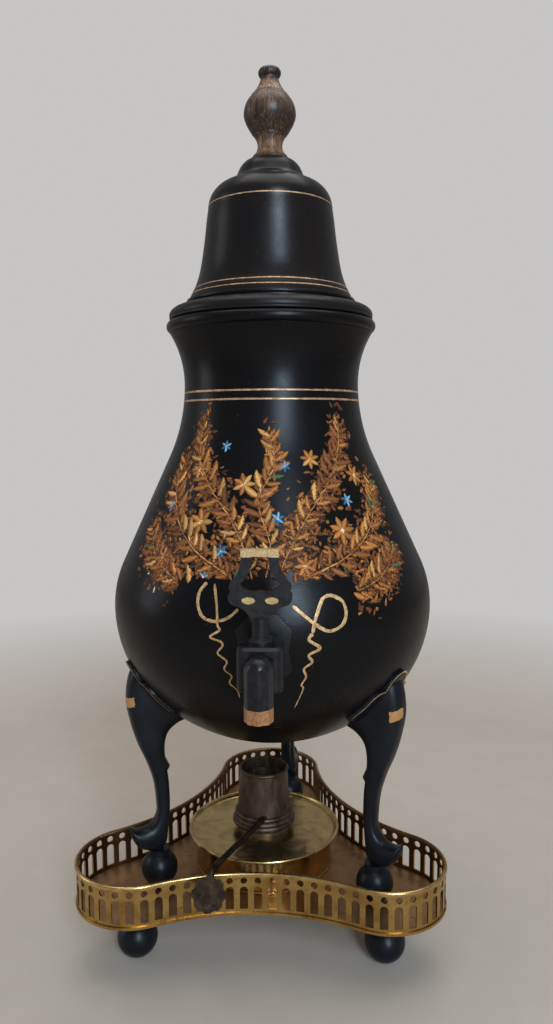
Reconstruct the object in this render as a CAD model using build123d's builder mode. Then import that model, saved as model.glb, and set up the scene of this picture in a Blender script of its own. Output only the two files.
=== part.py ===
# Coffee urn on three cabriole legs, standing in a pierced trefoil tray over a spirit burner.
# Millimetres, +Z up. The tap points along -Y. The origin is on the table, under the middle of
# the whole object's footprint. Each piece is its own solid, in its own file in parts/.

from build123d import *

import os
from math import acos, asin, atan2, cos, degrees, hypot, radians, sin, sqrt

os.makedirs("parts", exist_ok=True)

# Gaps between pieces
solder_gap = 0.1  # between soldered or screwed neighbours
rest_gap = 0.1  # under a piece that only stands on its neighbour
run_gap = 0.06  # radial, between a turning piece and its bearing
pin_gap = 0.25  # on each side of the guide pin in its slots

# Tray: three round lobes joined by three hollow sides
floor_top = 33.0  # the tray's floor, above the table
plate_thick = 1.0
lobe_reach = 72.9  # middle of the tray to the middle of a lobe
lobe_radius = 29.7
waist_reach = 51.4  # middle of the tray to the middle of a hollow side
strip_thick = 0.8
strip_high = 19.6
rim_wide = 2.0
rim_high = 1.7
base_wire_thick = 0.5
base_wire_high = 1.3
lobe_bays = 13
waist_bays = 15
hole_radius = 1.65
hole_drop = 2.3  # from the strip's top edge to the middle of a round hole
slot_wide = 4.0
slot_high = 11.4
slot_lift = 2.9  # from the strip's bottom edge to a slot
tray_foot_radius = 10.3
tray_foot_flat = 0.5  # cut off under the ball
tray_foot_neck = 4.6
tray_foot_pad = 7.0
pad_high = 2.0
screw_radius = 1.7
screw_head_radius = 3.4
screw_long = 13.0

# Urn: three spun shells soldered at two seams. Its outline is arcs that run into one another
wall = 1.0
belly_radius = 82.2  # at the widest ring
belly_clear = 72.5  # from the tray's floor up to the bottom of the belly
bowl_deep = 72.5  # from the widest ring down to the bottom
bowl_side_arc = 66.0  # under the widest ring, and a larger arc closes the bottom
bowl_seam_rise = 15.0  # from the widest ring up to the seam over the tap's plate
neck_radius = 44.6
neck_rise = 113.0  # from the widest ring up to the neck
curl = 0.753  # how round the flank's S is: at 1 it has no straight stretch left
shoulder_share = 0.38  # the shoulder's part of the S, the neck has the rest
flare_arc = 49.0
flare_rise = 26.5  # from the neck up to the edge of the sheet
rim_bead = 3.1  # radius of the rolled rim
urn_shift_x = 5.5  # the urn stands a little off the middle of its tray
urn_shift_y = -1.0

# Legs: each station is the inner edge, the outer edge and the width. An edge is how far it
# stands off the leg's straight axis, and how far up that axis it lies, from 0 at the sole to 1
# where the axis enters the belly.
leg_turn = -5.5  # the legs stand turned a little against the tap
hip_angle = 35.0  # down the bowl from the widest ring to where the leg's axis enters it
leg_stations = [
    ((-23.9, 0.887), (3.1, 1.175), 19.0),
    ((-19.7, 0.818), (9.1, 1.133), 18.0),
    ((-13.1, 0.787), (12.1, 0.971), 16.0),
    ((-8.0, 0.739), (10.6, 0.816), 14.0),
    ((-5.8, 0.660), (7.6, 0.678), 12.5),
    ((-5.8, 0.552), (3.8, 0.558), 10.5),
    ((-6.8, 0.432), (0.8, 0.426), 9.0),
    ((-6.7, 0.277), (0.0, 0.283), 8.2),
    ((-4.9, 0.157), (1.9, 0.205), 8.8),
    ((-0.7, 0.067), (5.7, 0.162), 9.5),
]
spur_place = (-5.8, 0.525)
spur_radius = 2.8
spur_wide = 6.0
toe_wide = 10.5
wing_thick = 1.5  # of the scalloped plate that spreads from the knee over the belly
wing_top = 16.8  # from where the leg's axis enters the belly up to the middle scallop's top
wing_half_wide = 20.5
ball_reach = 64.0  # from the urn's axis
ball_radius = 9.3
ball_flat = 0.3
ball_neck_radius = 5.2
ball_neck_high = 1.2
tenon_radius = 2.2
tenon_long = 4.5

# Tap
tap_drop = 5.0  # the tap's axis, below the widest ring
plug_reach = 20.8  # from the belly's widest ring to the plug's axis
barrel_side = 18.6
barrel_corner = 3.6
barrel_half_high = 9.2
shank_radius = 5.5
shank_inside = 8.6  # from the belly's widest ring inwards to the shank's end
shank_collar = 2.1  # the shank's collar stands out by this much
collar_long = 3.6
waterway_radius = 2.8
spout_radius = 5.8  # to the corners of the octagonal spout
spout_overlap = 1.1  # how far the spout runs into the barrel
spout_drop = 18.4  # from the tap's axis down to the spout's mouth
spout_bore = 3.4
spout_shoulder_drop = 1.8  # from the barrel's top down to the spout's
plate_half_wide = 12.4
plate_half_high = 17.0
plate_cut = 6.0
plate_metal = 1.5
nut_land = 2.0  # from the shank to a flat of its nut
nut_thick = 3.6
nut_inset = 1.0
plug_top_radius = 5.2
plug_bottom_radius = 4.2
tail_radius = 2.2
tail_long = 4.2
washer_thick = 1.0
key_stem_radius = 3.5
key_stem_high = 10.0  # from the barrel's top to the handle
key_thick = 3.6
key_arm_high = 28.2  # from the foot of the handle to its top bar
eye_deep = 0.5

# Lid: a spun bell with a flange over the urn's rim and a guide collar in its mouth
lid_wall = 1.0
flange_arc = 6.8
flange_reach = 1.5  # the flange stands inside the rim's outside by this much
hem_radius = 0.8
lip_inset = 11.6  # from the rim's outside in to the lip under the bell
lip_rise = 12.0
lip_radius = 1.3
throat_wall = 1.4  # of the flange's short throat, which carries the lip
lid_flare_arc = 32.0
lip_angle = 40.5  # of the flare's end
lid_wall_reach = 31.3  # top of the bell's side
lid_shoulder_arc = 17.5
lid_shoulder_rise = 55.7  # above the rim
lid_shoulder_end = 68.0  # degrees of the shoulder's arc, up to the crown's ledge
ledge_wide = 1.3
ledge_high = 0.9
crown_high = 7.4  # from the ledge to the lid's top
crown_thick = 1.4  # of the crown at the ledge, and its middle is thicker
collar_play = 0.5  # radial, in the urn's mouth
collar_wall = 0.8
collar_deep = 11.6
collar_seat = 3.2
finial_foot_radius = 9.4
finial_waist_radius = 6.2  # of the hollow above the foot
finial_body_radius = 13.3  # of the finial at its widest
finial_neck_radius = 4.6  # under the knob
knob_radius = 5.7  # of the flattened knob at the finial's top
knob_edge = 2.6  # radius of the knob's rounded side
knob_dome = 0.8  # rise of the knob's top inside its rounded edge
knob_rise = 42.1  # from the foot of the finial to the middle of its knob
finial_screw_deep = 10.6  # in the finial
finial_washer_radius = 6.5

# Spirit burner
drum_radius = 36.6
drum_wall = 0.8
drum_high = 15.3
base_lip = 0.7
base_high = 1.5
dish_overhang = 4.3
dish_metal = 0.8
dish_rise = 1.4
dish_wire = 0.9
tube_radius = 10.4
tube_wall = 0.8
tube_down = 5.0  # below the dish
tube_up = 29.2  # above the dish
stop_ring_wide = 3.1
stop_ring_high = 3.7
sleeve_wall = 0.8
sleeve_top_space = 1.7  # between the tube and the sleeve's top
sleeve_taper = 1.3  # the sleeve is this much wider above its foot
sleeve_bead = 1.5  # each moulding stands out this much further
sleeve_foot = 2.3
sleeve_low_high = 7.2  # of the moulded foot
sleeve_high = 30.2
lever_travel = 36.0  # degrees
wick_travel = 5.0
pin_up = 15.1  # guide pin above the dish, with the wick down
pin_radius = 1.0
holder_high = 8.0
holder_play = 0.2
holder_wall = 2.6
wick_long = 40.0
wick_under_rim = 8.0
lever_radius = 1.5
lever_root = (4.0, -8.0)  # inside the sleeve, from its axis
lever_root_up = 8.0  # above the foot of the sleeve
lever_over_rim = 2.0  # the rod clears the top of the gallery by this much
grip_side = -22.6  # from the tray's middle
grip_out = 9.6  # from the outside of the gallery
grip_down = 10.6  # from the rod's bend along the grip to its middle
grip_facing = 266.0  # degrees about +Z
grip_tilt = 31.0  # degrees that it looks upwards
grip_radius = 8.3
grip_thick = 1.6
grip_bite = 2.4
grip_bite_deep = 0.9

# Places worked out from the sizes above
plate_bottom = floor_top - plate_thick
rim_bottom = plate_bottom + strip_high + solder_gap
plug_place = belly_radius + plug_reach
spout_place = plug_place + barrel_side / 2 + spout_radius - spout_overlap
front_reach = spout_place + spout_radius - urn_shift_y
back_reach = lobe_reach + lobe_radius + rim_wide / 2 - strip_thick / 2
tray_y = (front_reach - back_reach) / 2
urn_x = urn_shift_x
urn_y = tray_y + urn_shift_y
urn_axis = Axis((urn_x, urn_y, 0), (0, 0, 1))
tray_axis = Axis((0, tray_y, 0), (0, 0, 1))
front = Vector(0, -1, 0)


def on_circle(centre, radius, angle):
    """The point of a circle at an angle in degrees."""
    return (centre[0] + radius * cos(radians(angle)), centre[1] + radius * sin(radians(angle)))


def flank_angle(convex_centre, convex_radius, hollow_centre, hollow_radius):
    """The angle of the normal of the straight flank between a convex and a hollow arc."""
    run = hollow_centre[0] - convex_centre[0]
    rise = hollow_centre[1] - convex_centre[1]
    opening = degrees(acos((convex_radius + hollow_radius) / hypot(run, rise)))
    towards = degrees(atan2(rise, run))
    return towards - opening if rise > 0 else towards + opening


def tray_level(height):
    """The horizontal plane at a height, centred on the tray."""
    return Plane(origin=(0, tray_y, height))


def urn_level(height):
    """The horizontal plane at a height, centred on the urn."""
    return Plane(origin=(urn_x, urn_y, height))


def tray_side(height=0.0):
    """The upright plane through the tray's axis, whose y is the height."""
    return Plane(origin=(0, tray_y, height), x_dir=(1, 0, 0), z_dir=front)


def urn_side(reach=0.0, height=0.0):
    """The upright plane across the tap, at a reach in front of the urn's axis."""
    return Plane(origin=(urn_x, urn_y - reach, height), x_dir=(1, 0, 0), z_dir=front)


def upright(place, height, azimuth):
    """The upright plane at a place that faces an azimuth, with its y upwards."""
    turn = radians(azimuth)
    return Plane(
        origin=(place[0], place[1], height),
        x_dir=(-sin(turn), cos(turn), 0),
        z_dir=(cos(turn), sin(turn), 0),
    )


# Tray

lobe_places = [90, 210, 330]
waist_arc = (lobe_radius**2 - waist_reach**2 - lobe_reach**2 + waist_reach * lobe_reach) / (
    2 * waist_reach - lobe_reach - 2 * lobe_radius
)
waist_centre = waist_reach + waist_arc
lobe_half = degrees(atan2(waist_centre * sin(radians(60)), waist_centre / 2 - lobe_reach))
waist_half = degrees(asin(lobe_reach * sin(radians(60)) / (lobe_radius + waist_arc)))


def trefoil(grow):
    """The tray's outline, grown outwards by a distance."""
    for angle in lobe_places:
        lobe = on_circle((0, 0), lobe_reach, angle)
        hollow = on_circle((0, 0), waist_centre, angle + 60)
        CenterArc(lobe, lobe_radius + grow, angle - lobe_half, 2 * lobe_half)
        CenterArc(hollow, waist_arc - grow, angle + 240 - waist_half, 2 * waist_half)


def bay_planes():
    """The upright planes on the outside of the gallery, one in the middle of each bay."""
    planes = []
    for angle in lobe_places:
        lobe = on_circle((0, tray_y), lobe_reach, angle)
        hollow = on_circle((0, tray_y), waist_centre, angle + 60)
        for bay in range(lobe_bays):
            turn = angle - lobe_half + (bay + 0.5) * 2 * lobe_half / lobe_bays
            planes.append(upright(on_circle(lobe, lobe_radius, turn), plate_bottom, turn))
        for bay in range(waist_bays):
            turn = angle + 240 - waist_half + (bay + 0.5) * 2 * waist_half / waist_bays
            planes.append(upright(on_circle(hollow, waist_arc, turn), plate_bottom, turn + 180))
    return planes


with BuildPart() as tray_floor:
    with BuildSketch(tray_level(plate_bottom)):
        with BuildLine():
            trefoil(-strip_thick - solder_gap)
        make_face()
    extrude(amount=plate_thick)
    for angle in lobe_places:
        foot_x, foot_y = on_circle((0, tray_y), lobe_reach, angle)
        with BuildSketch(Plane(origin=(foot_x, foot_y, floor_top))):
            Circle(screw_head_radius + 3 * solder_gap)
        with BuildSketch(Plane(origin=(foot_x, foot_y, plate_bottom))):
            Circle(screw_radius + 2 * solder_gap)
        loft(mode=Mode.SUBTRACT)
tray_floor.part.label = "tray_floor"
export_step(tray_floor.part, "parts/tray_floor.step")

with BuildPart() as tray_gallery:
    with BuildSketch(tray_level(plate_bottom)):
        with BuildLine():
            trefoil(0)
        make_face()
    extrude(amount=strip_high)
    with BuildSketch(tray_level(plate_bottom)):
        with BuildLine():
            trefoil(-strip_thick)
        make_face()
    extrude(amount=strip_high, mode=Mode.SUBTRACT)
    with BuildSketch(*bay_planes()):
        with Locations((0, strip_high - hole_drop)):
            Circle(hole_radius)
        with BuildLine():
            spring = slot_lift + slot_high - slot_wide / 2
            Line((-slot_wide / 2, spring), (-slot_wide / 2, slot_lift))
            Line((-slot_wide / 2, slot_lift), (slot_wide / 2, slot_lift))
            Line((slot_wide / 2, slot_lift), (slot_wide / 2, spring))
            CenterArc((0, spring), slot_wide / 2, 0, 180)
        make_face()
    extrude(amount=2 * strip_thick, both=True, mode=Mode.SUBTRACT)
tray_gallery.part.label = "tray_gallery"
export_step(tray_gallery.part, "parts/tray_gallery.step")

with BuildPart() as gallery_rim:
    with BuildSketch(tray_level(rim_bottom)):
        with BuildLine():
            trefoil(rim_wide / 2 - strip_thick / 2)
        make_face()
    extrude(amount=rim_high)
    with BuildSketch(tray_level(rim_bottom)):
        with BuildLine():
            trefoil(-rim_wide / 2 - strip_thick / 2)
        make_face()
    extrude(amount=rim_high, mode=Mode.SUBTRACT)
    fillet(gallery_rim.edges().group_by(Axis.Z)[-1], 0.45 * rim_wide)
gallery_rim.part.label = "gallery_rim"
export_step(gallery_rim.part, "parts/gallery_rim.step")

with BuildPart() as gallery_base_wire:
    with BuildSketch(tray_level(plate_bottom)):
        with BuildLine():
            trefoil(solder_gap + base_wire_thick)
        make_face()
    extrude(amount=base_wire_high)
    with BuildSketch(tray_level(plate_bottom)):
        with BuildLine():
            trefoil(solder_gap)
        make_face()
    extrude(amount=base_wire_high, mode=Mode.SUBTRACT)
gallery_base_wire.part.label = "gallery_base_wire"
export_step(gallery_base_wire.part, "parts/gallery_base_wire.step")

foot_centre = tray_foot_radius - tray_foot_flat
foot_top = plate_bottom - solder_gap
for side, angle in zip(["back", "left", "right"], lobe_places):
    foot_x, foot_y = on_circle((0, tray_y), lobe_reach, angle)
    with BuildPart() as tray_foot:
        with BuildSketch(Plane(origin=(foot_x, foot_y, 0), x_dir=(1, 0, 0), z_dir=front)):
            with BuildLine():
                start = -asin(foot_centre / tray_foot_radius)
                end = acos(tray_foot_neck / tray_foot_radius)
                flat = tray_foot_radius * cos(start)
                neck_foot = foot_centre + tray_foot_radius * sin(end)
                cove = foot_top - pad_high
                Line((0, 0), (flat, 0))
                CenterArc((0, foot_centre), tray_foot_radius, degrees(start), degrees(end - start))
                ThreePointArc(
                    (tray_foot_neck, neck_foot),
                    (tray_foot_neck - 0.4, (neck_foot + cove) / 2),
                    (tray_foot_neck + 1.2, cove),
                )
                Line((tray_foot_neck + 1.2, cove), (tray_foot_pad, cove))
                Line((tray_foot_pad, cove), (tray_foot_pad, foot_top))
                Line((tray_foot_pad, foot_top), (0, foot_top))
                Line((0, foot_top), (0, 0))
            make_face()
        revolve(axis=Axis((foot_x, foot_y, 0), (0, 0, 1)))
        with BuildSketch(Plane(origin=(foot_x, foot_y, foot_top))):
            Circle(screw_radius + solder_gap)
        extrude(amount=-screw_long, mode=Mode.SUBTRACT)
    tray_foot.part.label = f"tray_foot_{side}"
    export_step(tray_foot.part, f"parts/tray_foot_{side}.step")

with BuildPart() as tray_foot_screws:
    for angle in lobe_places:
        foot_x, foot_y = on_circle((0, tray_y), lobe_reach, angle)
        with BuildSketch(Plane(origin=(foot_x, foot_y, 0), x_dir=(1, 0, 0), z_dir=front)):
            with BuildLine():
                Polyline(
                    (0, foot_top - screw_long + 2 * solder_gap),
                    (screw_radius, foot_top - screw_long + 2 * solder_gap + 1.2),
                    (screw_radius, plate_bottom + solder_gap),
                    (screw_head_radius, floor_top - solder_gap),
                    (0, floor_top - solder_gap),
                    close=True,
                )
            make_face()
        revolve(axis=Axis((foot_x, foot_y, 0), (0, 0, 1)))
tray_foot_screws.part.label = "tray_foot_screws"
export_step(tray_foot_screws.part, "parts/tray_foot_screws.step")


# Urn body

bottom_height = floor_top + belly_clear
belly_height = bottom_height + bowl_deep
bottom_arc = (belly_radius**2 + bowl_deep**2 - 2 * belly_radius * bowl_side_arc) / (
    2 * (bowl_deep - bowl_side_arc)
)
bottom_centre = (0.0, bottom_height + bottom_arc)
bowl_centre = (belly_radius - bowl_side_arc, belly_height)
bowl_join = degrees(atan2(bowl_centre[1] - bottom_centre[1], bowl_centre[0]))
waist_in = belly_radius - neck_radius
s_arcs = curl * (waist_in**2 + neck_rise**2) / (2 * waist_in)
shoulder_arc = shoulder_share * s_arcs
neck_arc = s_arcs - shoulder_arc
shoulder_centre = (belly_radius - shoulder_arc, belly_height)
neck_height = belly_height + neck_rise
neck_centre = (neck_radius + neck_arc, neck_height)
flank = flank_angle(shoulder_centre, shoulder_arc, neck_centre, neck_arc)
flare_centre = (neck_radius + flare_arc, neck_height)
flare_angle = degrees(asin(flare_rise / flare_arc))
sheet_edge = on_circle(flare_centre, flare_arc, 180 - flare_angle)
bead_centre = on_circle(sheet_edge, 0.9 * rim_bead, 142)
rim_top = bead_centre[1] + rim_bead
rim_reach = bead_centre[0] + rim_bead
mouth_radius = bead_centre[0] - rim_bead
tap_height = belly_height - tap_drop
bowl_seam = belly_height + bowl_seam_rise


def urn_outline(grow):
    """The urn's outline from its bottom to the edge of the sheet, grown by a distance."""
    CenterArc(bottom_centre, bottom_arc + grow, -90, 90 + bowl_join)
    CenterArc(bowl_centre, bowl_side_arc + grow, bowl_join, -bowl_join)
    CenterArc(shoulder_centre, shoulder_arc + grow, 0, flank)
    flank_foot = on_circle(shoulder_centre, shoulder_arc + grow, flank)
    flank_head = on_circle(neck_centre, neck_arc - grow, 180 + flank)
    Line(flank_foot, flank_head)
    CenterArc(neck_centre, neck_arc - grow, 180 + flank, -flank)
    CenterArc(flare_centre, flare_arc - grow, 180, -flare_angle)


def urn_filled(grow):
    """A solid of the urn's whole outline, grown by a distance."""
    edge = on_circle(flare_centre, flare_arc - grow, 180 - flare_angle)
    with BuildPart() as filled:
        with BuildSketch(urn_side()):
            with BuildLine():
                urn_outline(grow)
                Line(edge, (0, edge[1]))
                Line((0, edge[1]), (0, bottom_height - grow))
            make_face()
        revolve(axis=urn_axis)
    return filled.part


def urn_sheet(low, high):
    """The urn's sheet between two heights."""
    with BuildPart() as sheet:
        with BuildSketch(urn_side()):
            with BuildLine():
                urn_outline(0)
                Line(sheet_edge, on_circle(flare_centre, flare_arc + wall, 180 - flare_angle))
                urn_outline(-wall)
                Line((0, bottom_height), (0, bottom_height + wall))
            make_face()
            with Locations(bead_centre):
                Circle(rim_bead)
        revolve(axis=urn_axis)
        with BuildSketch(urn_level(low)):
            Circle(belly_radius + wall)
        extrude(amount=high - low, mode=Mode.INTERSECT)
    return sheet.part


urn_outside = urn_filled(solder_gap)
urn_inside = urn_filled(-wall - solder_gap)

with BuildPart() as urn_bowl:
    add(urn_sheet(bottom_height, bowl_seam))
    with BuildSketch(urn_side(0, tap_height)):
        Circle(shank_radius + solder_gap)
    extrude(amount=belly_radius + wall, mode=Mode.SUBTRACT)
urn_bowl.part.label = "urn_bowl"
export_step(urn_bowl.part, "parts/urn_bowl.step")

with BuildPart() as urn_shoulder:
    add(urn_sheet(bowl_seam + solder_gap, neck_height))
urn_shoulder.part.label = "urn_shoulder"
export_step(urn_shoulder.part, "parts/urn_shoulder.step")

with BuildPart() as urn_neck:
    add(urn_sheet(neck_height + solder_gap, rim_top))
urn_neck.part.label = "urn_neck"
export_step(urn_neck.part, "parts/urn_neck.step")


# Legs and their ball feet

leg_places = {"back": 90 + leg_turn, "front_left": 210 + leg_turn, "front_right": 330 + leg_turn}
ball_bottom = floor_top + rest_gap
ball_centre = ball_bottom + ball_radius - ball_flat
sole = ball_centre + ball_radius + ball_neck_high
hip_reach = belly_radius * cos(radians(hip_angle))
hip_height = belly_height - bowl_deep * sin(radians(hip_angle))


def leg_place(edge):
    """The reach and the height of a point given by its stand-off and its share up the leg."""
    off, up = edge
    return (ball_reach + up * (hip_reach - ball_reach) + off, sole + up * (hip_height - sole))


def leg_section(leg_plane, inner, outer):
    """The plane square to a leg between two edge points, with its x from inner to outer."""
    low = leg_plane.from_local_coords(Vector(inner[0], inner[1], 0))
    high = leg_plane.from_local_coords(Vector(outer[0], outer[1], 0))
    across = (high - low).normalized()
    return Plane(origin=(low + high) * 0.5, x_dir=across, z_dir=leg_plane.z_dir.cross(across))


def toe_outline():
    """The side view of the toe, which turns up in front of the ball."""
    heel_top = (ball_reach - 4.0, sole + 10.0)
    heel = (ball_reach - 3.2, sole + solder_gap)
    ball_front = (ball_reach + 9.8, sole + solder_gap)
    nose = (ball_reach + 15.2, sole + 5.9)
    tip_foot = (ball_reach + 16.9, sole + 13.9)
    tip = (ball_reach + 16.6, sole + 15.7)
    instep = (ball_reach + 6.0, sole + 13.0)
    shin = (ball_reach + 2.5, sole + 16.1)
    ThreePointArc(heel_top, (ball_reach - 4.9, sole + 4.6), heel)
    Line(heel, ball_front)
    ThreePointArc(ball_front, (ball_reach + 14.2, sole + 1.9), nose)
    ThreePointArc(nose, (ball_reach + 14.1, sole + 9.8), tip_foot)
    Line(tip_foot, tip)
    ThreePointArc(tip, (ball_reach + 11.2, sole + 13.4), instep)
    ThreePointArc(instep, (ball_reach + 4.0, sole + 14.1), shin)
    Line(shin, heel_top)


def leg_wing(azimuth):
    """The plate of three scallops that the knee spreads over the belly."""
    with BuildPart() as wing:
        with BuildSketch(upright((urn_x, urn_y), hip_height, azimuth)):
            with BuildLine():
                for half in (1, -1):
                    cusp = (half * 0.4 * wing_half_wide, wing_top - 8.8)
                    lobe = (half * 0.71 * wing_half_wide, wing_top - 9.8)
                    lobe_end = (half * (wing_half_wide - 3.3), wing_top - 15.3)
                    tip = (half * wing_half_wide, -5.0)
                    ThreePointArc(
                        (0, wing_top), (half * 0.3 * wing_half_wide, wing_top - 2.5), cusp
                    )
                    ThreePointArc(cusp, lobe, lobe_end)
                    Line(lobe_end, tip)
                    ThreePointArc(tip, (half * 0.5 * wing_half_wide, -8.5), (0, -14.0))
            make_face()
        extrude(amount=belly_radius + wall)
        add(urn_filled(solder_gap + wing_thick), mode=Mode.INTERSECT)
    return wing.part


for side, azimuth in leg_places.items():
    outward = Vector(cos(radians(azimuth)), sin(radians(azimuth)), 0)
    leg_plane = Plane(origin=(urn_x, urn_y, 0), x_dir=outward, z_dir=outward.cross(Vector(0, 0, 1)))
    ball_x, ball_y = on_circle((urn_x, urn_y), ball_reach, azimuth)
    with BuildPart() as leg:
        for inner_edge, outer_edge, width in leg_stations:
            inner, outer = leg_place(inner_edge), leg_place(outer_edge)
            depth = hypot(outer[0] - inner[0], outer[1] - inner[1])
            with BuildSketch(leg_section(leg_plane, inner, outer)):
                RectangleRounded(depth, width, 0.42 * min(depth, width))
        loft()
        with BuildSketch(leg_plane):
            with BuildLine():
                toe_outline()
            make_face()
        extrude(amount=toe_wide / 2, both=True)
        with BuildSketch(leg_plane):
            with Locations(leg_place(spur_place)):
                Circle(spur_radius)
        extrude(amount=spur_wide / 2, both=True)
        add(leg_wing(azimuth))
        add(urn_outside, mode=Mode.SUBTRACT)
        with BuildSketch(Plane(origin=(ball_x, ball_y, sole))):
            Circle(tenon_radius + solder_gap)
        extrude(amount=tenon_long + solder_gap, mode=Mode.SUBTRACT)
    leg.part.label = f"leg_{side}"
    export_step(leg.part, f"parts/leg_{side}.step")

    with BuildPart() as foot_ball:
        with BuildSketch(Plane(origin=(ball_x, ball_y, 0), x_dir=(1, 0, 0), z_dir=front)):
            with BuildLine():
                start = -asin((ball_radius - ball_flat) / ball_radius)
                end = acos(ball_neck_radius / ball_radius)
                neck_foot = ball_centre + ball_radius * sin(end)
                Line((0, ball_bottom), (ball_radius * cos(start), ball_bottom))
                CenterArc((0, ball_centre), ball_radius, degrees(start), degrees(end - start))
                Line((ball_neck_radius, neck_foot), (ball_neck_radius, sole))
                Line((ball_neck_radius, sole), (tenon_radius, sole))
                Line((tenon_radius, sole), (tenon_radius, sole + tenon_long))
                Line((tenon_radius, sole + tenon_long), (0, sole + tenon_long))
                Line((0, sole + tenon_long), (0, ball_bottom))
            make_face()
        revolve(axis=Axis((ball_x, ball_y, 0), (0, 0, 1)))
    foot_ball.part.label = f"foot_ball_{side}"
    export_step(foot_ball.part, f"parts/foot_ball_{side}.step")


# Tap

shank_end = belly_radius - shank_inside
plate_outside = belly_radius + solder_gap + plate_metal
barrel_top = tap_height + barrel_half_high
barrel_bottom = tap_height - barrel_half_high
tail_bottom = barrel_bottom - tail_long
spout_bottom = tap_height - spout_drop
spout_shoulder = barrel_top - spout_shoulder_drop
plug_axis = Axis((urn_x, urn_y - plug_place, 0), (0, 0, 1))
spout_axis = Axis((urn_x, urn_y - spout_place, 0), (0, 0, 1))


def spout_block():
    """The octagonal spout with a corner to the front, under a dome that cuts its facets off."""
    with BuildPart() as spout:
        with BuildSketch(Plane(origin=(urn_x, urn_y - spout_place, spout_bottom))):
            RegularPolygon(spout_radius, 8, rotation=90)
        extrude(amount=spout_shoulder - spout_bottom)
        with BuildSketch(urn_side(spout_place)):
            with BuildLine():
                Line((0, spout_bottom), (spout_radius, spout_bottom))
                Line((spout_radius, spout_bottom), (spout_radius, spout_shoulder - spout_radius))
                CenterArc((0, spout_shoulder - spout_radius), spout_radius, 0, 90)
                Line((0, spout_shoulder), (0, spout_bottom))
            make_face()
        revolve(axis=spout_axis, mode=Mode.INTERSECT)
    return spout.part


with BuildPart() as tap_plate:
    with BuildSketch(urn_side(0, tap_height)):
        with BuildLine():
            Polyline(
                (0, plate_half_high),
                (plate_half_wide - plate_cut, plate_half_high - 1.5),
                (plate_half_wide, plate_half_high - plate_cut - 2.0),
                (plate_half_wide - 1.6, 0),
                (plate_half_wide, plate_cut + 2.0 - plate_half_high),
                (plate_half_wide - plate_cut, 1.5 - plate_half_high),
                (0, -plate_half_high),
                close=True,
            )
        make_face()
        mirror(about=Plane.YZ)
        Circle(shank_radius + solder_gap, mode=Mode.SUBTRACT)
    extrude(amount=2 * belly_radius)
    add(urn_filled(solder_gap + plate_metal), mode=Mode.INTERSECT)
    add(urn_outside, mode=Mode.SUBTRACT)
tap_plate.part.label = "tap_plate"
export_step(tap_plate.part, "parts/tap_plate.step")

with BuildPart() as tap_body:
    with BuildSketch(Plane(origin=(urn_x, urn_y - plug_place, barrel_bottom))):
        RectangleRounded(barrel_side, barrel_side, barrel_corner)
    extrude(amount=2 * barrel_half_high)
    chamfer(tap_body.faces().sort_by(Axis.Z)[-1].edges(), 1.2)
    chamfer(tap_body.faces().sort_by(Axis.Z)[0].edges(), 0.8)
    with BuildSketch(urn_side(shank_end, tap_height)):
        Circle(shank_radius)
    extrude(amount=plug_place - shank_end)
    with BuildSketch(urn_side(plate_outside + solder_gap, tap_height)):
        Circle(shank_radius + shank_collar)
    extrude(amount=collar_long)
    add(spout_block())
    with BuildSketch(urn_side(shank_end, tap_height)):
        Circle(waterway_radius)
    extrude(amount=spout_place - shank_end, mode=Mode.SUBTRACT)
    with BuildSketch(Plane(origin=(urn_x, urn_y - spout_place, spout_bottom))):
        Circle(spout_bore)
    extrude(amount=spout_drop, mode=Mode.SUBTRACT)
    with BuildSketch(Plane(origin=(urn_x, urn_y - plug_place, barrel_bottom))):
        Circle(plug_bottom_radius + run_gap)
    with BuildSketch(Plane(origin=(urn_x, urn_y - plug_place, barrel_top))):
        Circle(plug_top_radius + run_gap)
    loft(mode=Mode.SUBTRACT)
tap_body.part.label = "tap_body"
export_step(tap_body.part, "parts/tap_body.step")

with BuildPart() as tap_seal:
    with BuildSketch(urn_side(shank_end + nut_inset + nut_thick + solder_gap, tap_height)):
        Circle(shank_radius + nut_land + 1.2)
        Circle(shank_radius + solder_gap, mode=Mode.SUBTRACT)
    extrude(amount=shank_inside)
    add(urn_inside, mode=Mode.INTERSECT)
tap_seal.part.label = "tap_seal"
export_step(tap_seal.part, "parts/tap_seal.step")

with BuildPart() as tap_nut:
    with BuildSketch(urn_side(shank_end + nut_inset, tap_height)):
        RegularPolygon(shank_radius + nut_land, 6, major_radius=False)
        Circle(shank_radius + solder_gap, mode=Mode.SUBTRACT)
    extrude(amount=nut_thick)
tap_nut.part.label = "tap_nut"
export_step(tap_nut.part, "parts/tap_nut.step")

# The plug, its stem and the lyre handle are one casting
handle_foot = barrel_top + key_stem_high

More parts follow.
